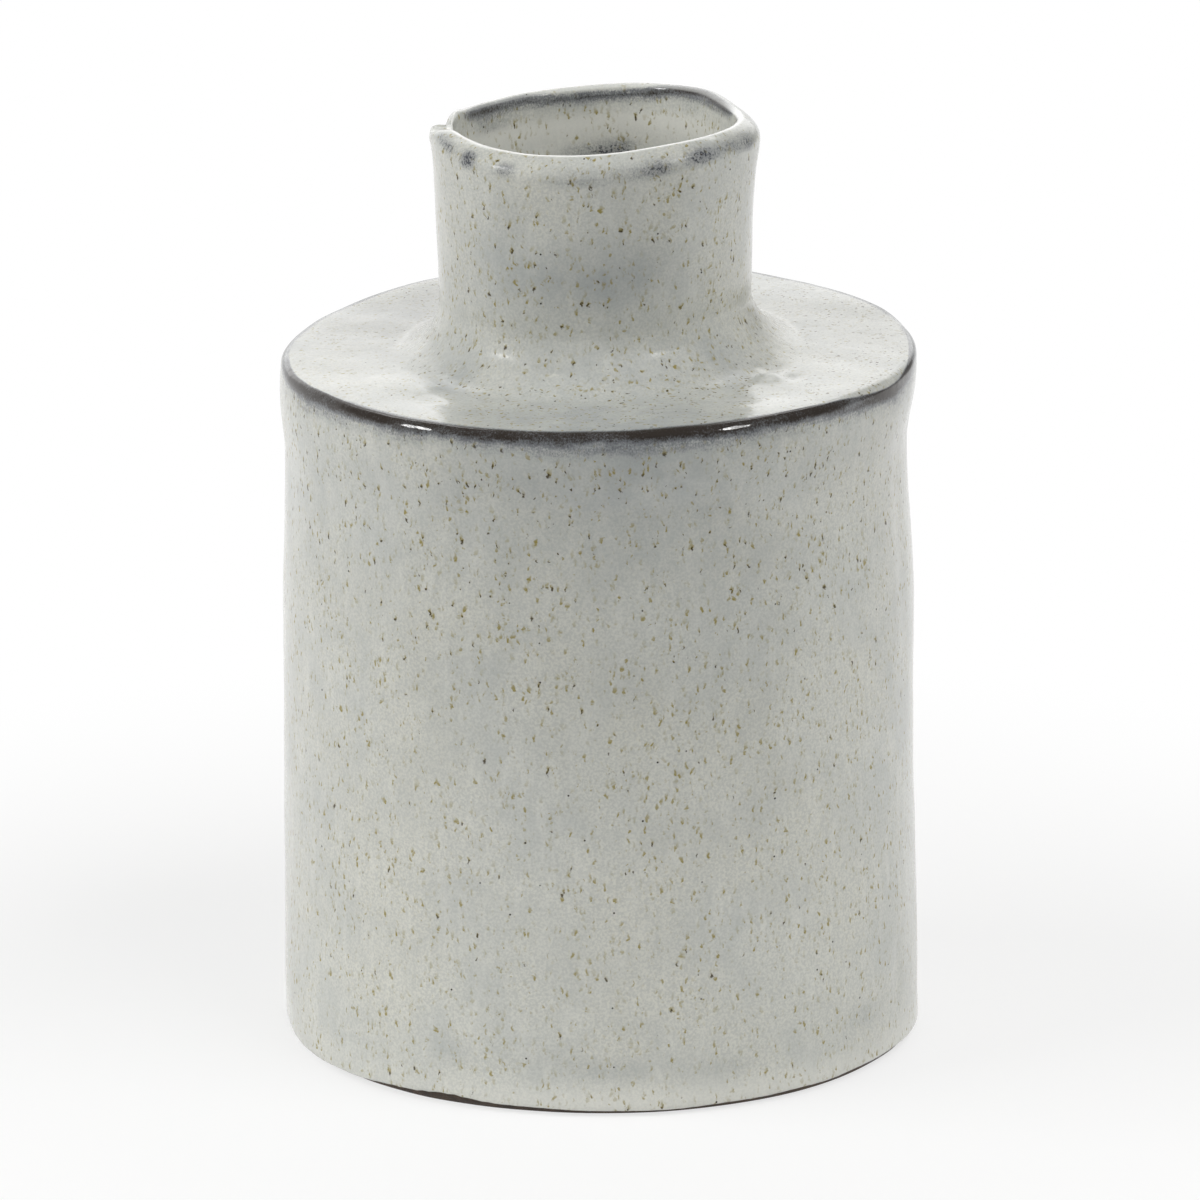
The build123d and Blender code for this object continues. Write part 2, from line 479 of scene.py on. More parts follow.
@dataclass(frozen=True)
class Lip:
    """Shape of the lip: a tight crest near its inner edge, and a slope outwards to a softer edge."""

    lap: Lap = Lap()
    inner_power: float = 3.2
    outer_power: float = 2.3
    crest: float = 0.6
    slope: float = 0.6
    slope_at_lap: float = 0.02
    slope_at_end: float = -0.3
    soften: float = 0.3
    lift: float = 0.45
    lift_behind: float = 0.3
    fade: float = 11.0

    def shaped(self, form: Form, at: Points) -> tuple[Array, Array]:
        """Reshape the half round of the lip.

        A point above the lip's start moves out along its own direction, as far as a superellipse lies
        beyond a circle there, with one power on the inside and another on the outside. Then each point
        sinks by the slope times its distance outside the crest, with a soft onset: half the sum of the
        distance and the root of its square plus the softening's square. The strip that lies behind the
        lap hardly slopes there, and the free end before it turns up.

        Args:
            form: Sizes of the vase.
            at: Points on the true round.

        Returns:
            The new radii and heights.
        """
        middle = form.collar_radius(np.minimum(at.height, form.lip_start)) - form.lip_round
        out = at.radius - middle
        above = np.maximum(at.height - form.lip_start, 0.0)
        length = np.maximum(np.hypot(out, above), 0.001)
        power = np.where(out < 0.0, self.inner_power, self.outer_power)
        stretch = ((np.abs(out) / length) ** power + (above / length) ** power) ** (-1.0 / power)
        slope = self.slope + (self.slope_at_lap - self.slope) * self.lap.behind(at.angle)
        slope = slope + (self.slope_at_end - self.slope) * self.lap.before(at.angle)
        beyond = out + self.crest * form.lip_round
        drop = slope * (beyond + np.hypot(beyond, self.soften)) / 2.0
        rise = self.lift + self.lift_behind * np.sin(at.angle)
        share = eased(at.height, (form.lip_start - self.fade, 0.0), (form.lip_start, 1.0))
        return middle + out * stretch, at.height + above * (stretch - 1.0) + (rise - drop) * share


@dataclass(frozen=True)
class Facet:
    """A flat patted place on the shoulder's edge: direction, rise of its normal, and half lengths."""

    angle: float
    rise: float
    along: float
    across: float
    skin: float = 0.2
    fade_along: float = 1.6
    fade_across: float = 2.2
    fade_skin: float = 2.0

    def flattened(self, places: Array, middle: Array) -> Array:
        """Bring the points near the middle onto the plane through it.

        Each point moves against the facet's normal by its height over the plane, in full within the half
        lengths and not at all well outside them, and not where it lies deeper than the skin.

        Args:
            places: Places on the vase, with x, y and z in the last axis.
            middle: Middle of the facet.

        Returns:
            The new places.
        """
        turn, rise = math.radians(self.angle), math.radians(self.rise)
        level = math.cos(rise)
        facing = np.array([level * math.cos(turn), level * math.sin(turn), math.sin(rise)])
        sideways = np.array([-math.sin(turn), math.cos(turn), 0.0])
        upward = np.cross(facing, sideways)
        away = places - middle
        proud = away @ facing
        weight = 1.0
        for distance, full, fade in (
            (away @ sideways, self.along, self.fade_along),
            (away @ upward, self.across, self.fade_across),
            (proud, self.skin, self.fade_skin),
        ):
            weight = weight * eased(np.abs(distance), (full, 1.0), (fade * full, 0.0))
        return places - (proud * weight)[..., None] * facing


@dataclass(frozen=True)
class Lumps:
    """Slow unevenness of clay that was rolled and patted by hand."""

    seed: int
    size: float
    shortest: float
    longest: float
    waves: int = 28

    def rise(self, at: Points) -> Array:
        """Sum of waves through space, each with its own seeded direction, length and phase.

        Args:
            at: Points on the true round.

        Returns:
            The height of the lumps at each point, about as large as the size.
        """
        dice = np.random.default_rng(self.seed)
        towards = dice.normal(size=(self.waves, 3))
        towards /= np.linalg.norm(towards, axis=1, keepdims=True)
        lengths = self.shortest * (self.longest / self.shortest) ** dice.random(self.waves)
        phases = TURN * dice.random(self.waves)
        weights = lengths / self.longest
        across, along = at.radius * np.cos(at.angle), at.radius * np.sin(at.angle)
        places = np.stack(np.broadcast_arrays(across, along, at.height), axis=-1)
        turns = places @ (TURN * towards / lengths[:, None]).T
        return self.size * (np.cos(turns + phases) @ weights) / np.sqrt((weights**2).sum() / 2.0)


@dataclass(frozen=True)
class Handwork:
    """Lean, tilt, oval, waves, lumps and presses of the hand-built vase, in millimetres and degrees."""

    form: Form
    foot_shift: float = 0.3
    belly_shift: float = -0.3
    waist_shift: float = -0.85
    neck_shift: float = -0.9
    shoulder_droop: float = 0.55
    shoulder_oval: float = 0.75
    shoulder_oval_towards: float = 58.0
    lip_oval: float = 1.05
    lip_oval_towards: float = 99.0
    shoulder_tilt: float = 0.8
    shoulder_tilt_towards: float = 30.0
    lip_tilt: float = 3.0
    lip_tilt_towards: float = -45.0
    lip_wave_out: tuple[float, float] = (-0.26, -0.75)
    lip_wave_up: tuple[float, float] = (-0.62, -0.2)
    lip_sway_up: float = 0.46
    edge_wave_up: tuple[float, float] = (-0.14, -0.26)
    wall_trim: tuple[Station, ...] = ((12, 0.0), (64, -0.25), (100, 0.1), (138, 0.3), (153, 0.0))
    lip: Lip = Lip()
    wall_lumps: Lumps = Lumps(11, 0.1, 14.0, 45.0)
    top_lumps: Lumps = Lumps(5, 0.05, 9.0, 30.0)
    lumps_from: float = 8.0
    facets: tuple[Facet, ...] = (Facet(295.4, 28.0, 3.6, 0.36), Facet(236.0, 28.0, 7.0, 0.36))
    presses: tuple[Press, ...] = (
        Press(184, 36, 205, 6, 4, out=0.45),
        Press(182, 34.5, 206.3, 5.5, 5, up=-2.7),
        Press(169, 32, 206.3, 5.5, 4, up=0.9),
        Press(175.5, 32, 204, 2.2, 2.2, out=0.9),
        Press(355, 36, 204.5, 14, 6, out=0.5),
        Press(42, 35, 206, 8, 4, out=0.8, up=0.5),
        Press(128, 34, 206, 13, 5, up=0.5),
        Press(323.5, 47.2, 155.2, 4, 2.6, up=1.15),
        Press(327.5, 49.6, 155, 2.2, 2, up=-0.75),
        Press(329, 43.5, 156.5, 4, 2.5, up=-0.5),
        Press(299, 58, 154.8, 4.2, 2.4, up=0.42),
        Press(304, 52, 154.8, 5, 3, up=-0.35),
        Press(214, 53, 154.8, 9, 6, up=0.5),
        Press(229, 56, 154.8, 7, 4.5, up=-0.55),
        Press(222, 51, 154.8, 2.2, 2.2, up=0.22),
        Press(226, 47, 154.9, 7, 5, up=-0.4),
        Press(311, 56, 154.8, 8, 5, up=-0.35),
        Press(300, 37, 163, 6, 2, out=-0.35),
        Press(238, 37, 162.5, 6, 2, out=-0.2),
        Press(200, 36, 163, 5, 3, out=0.5),
        Press(256, 38.5, 159, 7, 2.4, out=-0.6),
        Press(274, 38, 160, 6, 2.6, out=0.5),
        Press(55, 66, 154.8, 14, 10, up=-0.4),
        Press(30, 68, 154.8, 12, 10, out=0.4, up=0.35),
        Press(130, 67, 154.8, 13, 10, up=0.35),
        Press(148, 67, 154.8, 8, 10, up=-0.3),
        Press(345, 69, 118, 4, 32, out=-0.3),
        Press(190, 69.5, 2, 26, 7, out=-0.75),
        Press(242, 70, 15, 6, 2.4, out=-0.6),
        Press(259, 70, 10.3, 13, 2.1, out=-0.65),
        Press(294, 70, 8.6, 5, 2, out=-0.6),
        Press(326, 70, 12.6, 11, 2, out=-0.75),
        Press(326, 70, 7.5, 12, 2.4, out=0.3),
        Press(338, 70, 18, 2.4, 7, out=-0.4),
    )

    def waves_up(self, at: Points) -> Array:
        """Rise of the lip and the shoulder's edge: waves of two and three to the round, and lumps.

        Args:
            at: Points on the true round.

        Returns:
            The rise at each point.
        """
        form = self.form
        three_cos, three_sin = np.cos(3 * at.angle), np.sin(3 * at.angle)
        neck = eased(at.height, (form.coil_top, 0.0), (form.lip_height, 1.0))
        lip = self.lip_sway_up * np.cos(2 * at.angle)
        lip = lip + self.lip_wave_up[0] * three_cos + self.lip_wave_up[1] * three_sin
        edge = self.edge_wave_up[0] * three_cos + self.edge_wave_up[1] * three_sin
        edge = edge * (at.radius / form.shoulder_radius) ** 2
        top = (form.body_height, 1.0)
        shoulder = eased(at.height, (form.waist_height, 0.0), top, (form.lip_height, 0.0))
        lumps = self.top_lumps.rise(at) * eased(at.height, (self.lumps_from, 0.0), (form.waist_height, 1.0))
        return neck * lip + shoulder * edge + lumps

    def waves_out(self, at: Points) -> Array:
        """Reach of the walls beyond a true round: three waves round the lip, the wall's trim, and lumps.

        Args:
            at: Points on the true round.

        Returns:
            The reach at each point.
        """
        form = self.form
        neck = eased(at.height, (form.coil_top, 0.0), (form.lip_height, 1.0))
        lip = self.lip_wave_out[0] * np.cos(3 * at.angle) + self.lip_wave_out[1] * np.sin(3 * at.angle)
        lumps = self.wall_lumps.rise(at) * np.minimum(at.radius / form.neck_radius, 1.0)
        return neck * lip + eased(at.height, *self.wall_trim) + lumps

    def bend(self, at: Points) -> Array:
        """Place on the hand-built vase of points on a true round, with the facets of the glazed edge flat.

        Args:
            at: Points on the true round.

        Returns:
            The places, with x, y and z in the last axis.
        """
        form = self.form
        places = self.bent(at)
        corner = (form.shoulder_radius - form.edge_round, form.body_height - form.edge_round)
        reach = form.edge_round + form.edge_glaze
        for facet in self.facets:
            turn, rise = math.radians(facet.angle), math.radians(facet.rise)
            edge = (corner[0] + reach * math.cos(rise), corner[1] + reach * math.sin(rise))
            middle = self.bent(Points(*np.array([*edge, turn])[:, None]))[0]
            places = facet.flattened(places, middle)
        return places

    def bent(self, at: Points) -> Array:
        """Place on the hand-built vase of points on a true round, before the facets.

        The reach is the radius with the oval and the waves added, the height rises with the tilt and sinks
        with the droop, the axis shifts sideways with the height, and each pressed place adds its push.

        Args:
            at: Points on the true round.

        Returns:
            The places, with x, y and z in the last axis.
        """
        form = self.form
        angle = at.angle
        radius, height = self.lip.shaped(form, at)
        floor, belly, waist = form.floor_thickness, form.belly_height, form.waist_height
        under, top, lip = form.shoulder_underside, form.body_height, form.lip_height
        leans = ((floor, self.foot_shift), (belly, self.belly_shift), (waist, self.waist_shift))
        shift = eased(height, *leans, (top, 0.0), (form.coil_top, self.neck_shift))
        oval = eased(height, (floor, 0.0), (top, self.shoulder_oval), (lip, self.lip_oval))
        oval_towards = eased(height, (top, self.shoulder_oval_towards), (lip, self.lip_oval_towards))
        tilt = eased(height, (belly, 0.0), (under, self.shoulder_tilt), (lip, self.lip_tilt))
        tilt_towards = eased(height, (top, self.shoulder_tilt_towards), (lip, self.lip_tilt_towards))
        droop = eased(height, (belly, 0.0), (under, self.shoulder_droop))
        reach = radius + oval * np.cos(2 * (angle - np.radians(oval_towards)))
        reach = reach + self.waves_out(at) - self.lip.lap.set_back(form, at)
        rise = radius * np.tan(np.radians(tilt)) * np.cos(angle - np.radians(tilt_towards))
        rise = rise - droop * (radius / form.shoulder_radius) ** 2 * np.cos(2 * angle)
        rise = rise + self.waves_up(at)
        for press in self.presses:
            weight = press.weight(at)
            reach = reach + press.out * weight
            rise = rise + press.up * weight
        return np.stack([reach * np.cos(angle) + shift, reach * np.sin(angle), height + rise], axis=-1)

    def turns(self, count: int, closeness: float = 5.0, spread: float = 0.12) -> Array:
        """Angles round the vase, closer together at the lap: even shares of a running sum of density.

        Args:
            count: Number of angles.
            closeness: How much denser than elsewhere they are at the lap.
            spread: Spread of the dense stretch in radians.

        Returns:
            The angles in radians, from 0.
        """
        fine = np.linspace(0.0, TURN, 7201)
        density = 1.0 + closeness * hill(turn_from(fine, self.lip.lap.at), spread)
        running = np.concatenate([[0.0], np.cumsum((density[1:] + density[:-1]) / 2.0)])
        return np.interp(np.arange(count) / count, running / running[-1], fine)


def mesh_piece(
    name: str, points: Array, closed: bool, masks: dict[Mask, Array] | None = None
) -> bpy.types.Object:
    """Make a smooth mesh from a grid of points: rings of columns, joined by quads to the next ring.

    Args:
        name: Name of the piece.
        points: Places in millimetres by ring, column and axis, with the outside on the left of the rings.
        closed: Whether the last ring joins the first. Otherwise both are poles, and each is one vertex.
        masks: Values at the points, by ring and column.

    Returns:
        The piece, at the origin.
    """
    rings, columns = points.shape[:2]
    column = np.arange(columns)
    beside = (column + 1) % columns
    first = np.arange(rings if closed else rings - 3)[:, None] * columns
    after = (first + columns) % (rings * columns)
    quads = np.stack([first + column, after + column, after + beside, first + beside], axis=-1)
    faces = (quads if closed else quads + 1).reshape(-1, 4).tolist()
    if not closed:
        last = 1 + (rings - 3) * columns
        pole = np.full_like(column, last + columns)
        faces += np.stack([np.zeros_like(column), 1 + column, 1 + beside], axis=-1).tolist()
        faces += np.stack([last + column, pole, last + beside], axis=-1).tolist()

    def gathered(values: Array) -> Array:
        """Values at the vertices, with the mean of the first and the last ring where these are poles.

        Args:
            values: Values by ring and column, with one or more of them at each point.

        Returns:
            The values, with a row for each vertex.
        """
        flat = values.reshape(rings, columns, -1)
        if closed:
            return flat.reshape(rings * columns, -1)
        inner = flat[1:-1].reshape((rings - 2) * columns, -1)
        return np.concatenate([flat[:1].mean(axis=1), inner, flat[-1:].mean(axis=1)])

    mesh = bpy.data.meshes.new(name)
    mesh.from_pydata((gathered(points) * METRES).tolist(), [], faces)
    mesh.polygons.foreach_set("use_smooth", np.ones(len(mesh.polygons), bool))
    for mask, values in (masks or {}).items():
        attribute = mesh.attributes.new(mask.value, "FLOAT", "POINT")
        attribute.data.foreach_set("value", gathered(values)[:, 0].astype(np.float32))
    mesh.update()
    piece = bpy.data.objects.new(name, mesh)
    bpy.context.scene.collection.objects.link(piece)
    return piece


def settle(piece: bpy.types.Object, node: str, material: bpy.types.Material) -> None:
    """Let a piece ride on the body, stand for its node and wear its finish.

    Args:
        piece: The piece.
        node: Node that it stands for.
        material: Material that it wears.
    """
    piece.data.materials.append(material)
    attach(piece, BODY)
    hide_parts(node)
    LOG.info("%s: %d vertices, %d faces", piece.name, len(piece.data.vertices), len(piece.data.polygons))


class Board:
    """Adds and joins the nodes of one material, world or group."""

    def __init__(self, tree: bpy.types.NodeTree) -> None:
        """Start on an empty tree."""
        self.tree = tree
        tree.nodes.clear()

    def put(self, socket: Socket, value: object) -> None:
        """Set an input's value, or join another node's output to it.

        Args:
            socket: Input of a node.
            value: Number, vector, colour or socket.
        """
        if isinstance(value, Socket):
            self.tree.links.new(value, socket)
        elif isinstance(value, tuple) and socket.type == "RGBA":
            socket.default_value = (*value, 1.0)
        else:
            socket.default_value = value

    def add(self, kind: str, settings: dict | None = None, **inputs: object) -> bpy.types.Node:
        """Add a node.

        Args:
            kind: Type of the node, without its prefix.
            settings: Properties of the node.
            inputs: Values or sockets for its inputs, by name with underscores for spaces.

        Returns:
            The node.
        """
        node = self.tree.nodes.new("ShaderNode" + kind)
        for name, value in (settings or {}).items():
            setattr(node, name, value)
        for name, value in inputs.items():
            self.put(node.inputs[name.replace("_", " ")], value)
        return node

    def worked(self, kind: str, operation: str, values: tuple) -> Sockets:
        """Add a node that works out an operation on values in their order.

        Args:
            kind: Type of the node, without its prefix.
            operation: Operation of the node.
            values: Numbers, vectors or sockets.

        Returns:
            The outputs of the node.
        """
        node = self.add(kind, {"operation": operation})
        for socket, value in zip(node.inputs, values):
            self.put(socket, value)
        return node.outputs

    def math(self, operation: str, *values: object) -> Socket:
        """Work out a number from one, two or three numbers or sockets."""
        return self.worked("Math", operation, values)[0]

    def times(self, first: object, second: object) -> Socket:
        """Product of two numbers or sockets."""
        return self.math("MULTIPLY", first, second)

    def plus(self, first: object, second: object) -> Socket:
        """Sum of two numbers or sockets."""
        return self.math("ADD", first, second)

    def vector(self, operation: str, *values: object) -> Socket:
        """Work out a vector, or a length, from one or two vectors or sockets."""
        return self.worked("VectorMath", operation, values)["Value" if operation == "LENGTH" else "Vector"]

    def scaled(self, place: object, scales: Place) -> Socket:
        """Place with each axis scaled by itself."""
        return self.vector("MULTIPLY", place, scales)

    def moved(self, place: object, step: object) -> Socket:
        """Place moved by a step."""
        return self.vector("ADD", place, step)

    def fade(
        self, value: object, start: object, end: object, low: object = 0.0, high: object = 1.0
    ) -> Socket:
        """Run smoothly from low at start to high at end: a smoothstep.

        Args:
            value: Value that the fade follows.
            start: Where the fade starts.
            end: Where the fade ends.
            low: Result up to the start.
            high: Result from the end on.

        Returns:
            The result.
        """
        node = self.add("MapRange", {"interpolation_type": "SMOOTHSTEP"}, Value=value, From_Min=start)
        for name, limit in (("From Max", end), ("To Min", low), ("To Max", high)):
            self.put(node.inputs[name], limit)
        return node.outputs["Result"]

    def blend(self, share: object, under: object, over: object) -> Socket:
        """Lay one colour over another by a share.

        Args:
            share: Share of the upper colour.
            under: Lower colour.
            over: Upper colour.

        Returns:
            The mixed colour.
        """
        node = self.add("Mix", {"data_type": "RGBA", "clamp_factor": True})
        for index, value in ((0, share), (6, under), (7, over)):
            self.put(node.inputs[index], value)
        return node.outputs[2]

    def noise(
        self, place: object, size: float, detail: float = 2.0, roughness: float = 0.5, twist: float = 0.0
    ) -> Socket:
        """Cloudy value from 0 to 1 whose features are about as wide as size, in the units of place."""
        inputs = {"Scale": 1.0 / size, "Detail": detail, "Roughness": roughness, "Distortion": twist}
        return self.add("TexNoise", {"noise_dimensions": "3D"}, Vector=place, **inputs).outputs[0]

    def attribute(self, mask: Mask) -> Socket:
        """Value that the piece carries at its vertices."""
        settings = {"attribute_name": mask.value, "attribute_type": "GEOMETRY"}
        return self.add("Attribute", settings).outputs["Fac"]

    def millimetres(self) -> Socket:
        """Place on the piece in millimetres, in its own frame."""
        return self.scaled(self.add("TexCoord").outputs["Object"], (1.0 / METRES,) * 3)


class NodeGroup:
    """A shader node group, which is built once and placed with its own values."""

    NAME: str
    INPUTS: tuple[str, ...]
    OUTPUTS: tuple[str, ...]

    @classmethod
    def wire(cls, board: Board, given: Sockets, out: Sockets) -> None:
        """Join the group's nodes from its inputs to its outputs."""
        raise NotImplementedError

    @classmethod
    def place(cls, board: Board, **inputs: object) -> Sockets:
        """Put the group into a material.

        Args:
            board: Board of the material.
            inputs: Values or sockets for the group's inputs, by name with underscores for spaces.

        Returns:
            The outputs of the group.
        """
        tree = bpy.data.node_groups.get(cls.NAME)
        if not tree:
            tree = bpy.data.node_groups.new(cls.NAME, "ShaderNodeTree")
            tree.interface.new_socket("Place", in_out="INPUT", socket_type="NodeSocketVector")
            for way, names in (("INPUT", cls.INPUTS), ("OUTPUT", cls.OUTPUTS)):
                for name in names:
                    tree.interface.new_socket(name, in_out=way, socket_type="NodeSocketFloat")
            inner = Board(tree)
            given = tree.nodes.new("NodeGroupInput").outputs
            cls.wire(inner, given, tree.nodes.new("NodeGroupOutput").inputs)
        return board.add("Group", {"node_tree": tree}, **inputs).outputs


class SpeckleGroup(NodeGroup):
    """Node group of iron specks that ran down in the glaze, and of the dark feet that some have."""

    NAME = "iron_specks"
    INPUTS = ("Spacing", "Width", "Share", "Dark Share")
    OUTPUTS = ("Speck", "Foot")

    @classmethod
    def wire(cls, board: Board, given: Sockets, out: Sockets) -> None:
        """Join the nodes of the specks.

        Each cell of a scattered pattern holds one speck: a streak that is narrow round the vase and long
        down it, with a longer tail above its middle than below and an outline that a fine noise frays.
        The cell's random colour says whether the speck is there, how wide and strong it is and whether
        its foot is dark.

        Args:
            board: Board of the group.
            given: Inputs of the group.
            out: Sockets that the masks go to.
        """
        fray = board.add("TexNoise", Vector=given["Place"], Scale=1.3, Detail=1.0).outputs["Color"]
        fray = board.scaled(board.vector("SUBTRACT", fray, (0.5, 0.5, 0.5)), (0.9, 0.9, 1.6))
        squeezed = board.scaled(board.moved(given["Place"], fray), (1.0, 1.0, 0.38))
        scale = board.math("DIVIDE", 1.0, given["Spacing"])
        cells = board.add("TexVoronoi", {"voronoi_dimensions": "3D"}, Vector=squeezed, Scale=scale)
        away = board.vector("SUBTRACT", squeezed, cells.outputs["Position"])
        chance = board.add("SeparateColor", Color=cells.outputs["Color"]).outputs
        side = board.math("POWER", board.vector("LENGTH", board.scaled(away, (1.0, 1.0, 0.0))), 2.0)
        up = board.add("SeparateXYZ", Vector=away).outputs["Z"]
        above = board.times(board.math("MAXIMUM", up, 0.0), 0.75)
        below = board.times(board.math("MINIMUM", up, 0.0), 1.5)
        tall = board.math("POWER", board.plus(above, below), 2.0)
        width = board.times(given["Width"], board.fade(chance["Green"], 0.0, 1.0, 0.6, 1.3))
        near = board.math("DIVIDE", board.math("SQRT", board.plus(side, tall)), width)
        there = board.math("GREATER_THAN", given["Share"], chance["Red"])
        shade = board.fade(board.math("DIVIDE", up, width), 0.8, -0.3, 0.4, 1.0)
        shade = board.times(shade, board.fade(chance["Green"], 0.0, 1.0, 0.3, 1.0))
        speck = board.times(board.fade(near, 1.0, 0.35), shade)
        board.put(out["Speck"], board.times(speck, there))
        low = board.plus(up, board.times(width, 0.35))
        low = board.math("POWER", board.times(low, 1.4), 2.0)
        foot = board.math("DIVIDE", board.math("SQRT", board.plus(side, low)), width)
        dark = board.times(board.math("GREATER_THAN", given["Dark Share"], chance["Blue"]), there)
        board.put(out["Foot"], board.times(board.fade(foot, 0.78, 0.28), dark))


class GritGroup(NodeGroup):
    """Node group of fine grain and slow mottling from 0 to 1, for clay and glaze alike."""

    NAME = "grit_and_mottle"
    INPUTS = ("Grain Size", "Mottle Size")
    OUTPUTS = ("Grain", "Mottle")

    @classmethod
    def wire(cls, board: Board, given: Sockets, out: Sockets) -> None:
        """Join a cloudy noise of its own size to each output.

        Args:
            board: Board of the group.
            given: Inputs of the group.
            out: Sockets that the values go to.
        """
        for name in cls.OUTPUTS:
            scale = board.math("DIVIDE", 1.0, given[name + " Size"])
            cloud = board.add("TexNoise", Vector=given["Place"], Scale=scale, Detail=3.0, Roughness=0.55)
            board.put(out[name], board.fade(cloud.outputs[0], 0.28, 0.72))


@dataclass(frozen=True)
class StonewareFinish:
    """Bare fired clay: dark brown, matt and gritty."""

    pale: Colour = (0.135, 0.098, 0.072)
    dark: Colour = (0.035, 0.025, 0.02)
    grain: float = 0.45
    mottle: float = 5.0
    grit_depth: float = 0.0002
    roughness: float = 0.82
    roughness_spread: float = 0.06

    def material(self) -> bpy.types.Material:
        """Make the material, with grit in its colour and its bump.

        Returns:
            The material.
        """
        material = bpy.data.materials.new("bare_stoneware")
        material.use_nodes = True
        board = Board(material.node_tree)
        place = board.millimetres()
        grit = GritGroup.place(board, Place=place, Grain_Size=self.grain, Mottle_Size=self.mottle)
        speckled = board.blend(grit["Mottle"], self.dark, self.pale)
        colour = board.blend(board.times(grit["Grain"], 0.55), speckled, self.dark)
        bump = board.add("Bump", Height=grit["Grain"], Strength=0.7, Distance=self.grit_depth)
        normal = bump.outputs["Normal"]
        low, high = self.roughness - self.roughness_spread, self.roughness + self.roughness_spread
        roughness = board.fade(grit["Mottle"], 0.0, 1.0, low, high)
        shader = board.add("BsdfPrincipled", Base_Color=colour, Roughness=roughness, Normal=normal)
        board.add("OutputMaterial", Surface=shader.outputs["BSDF"])
        return material


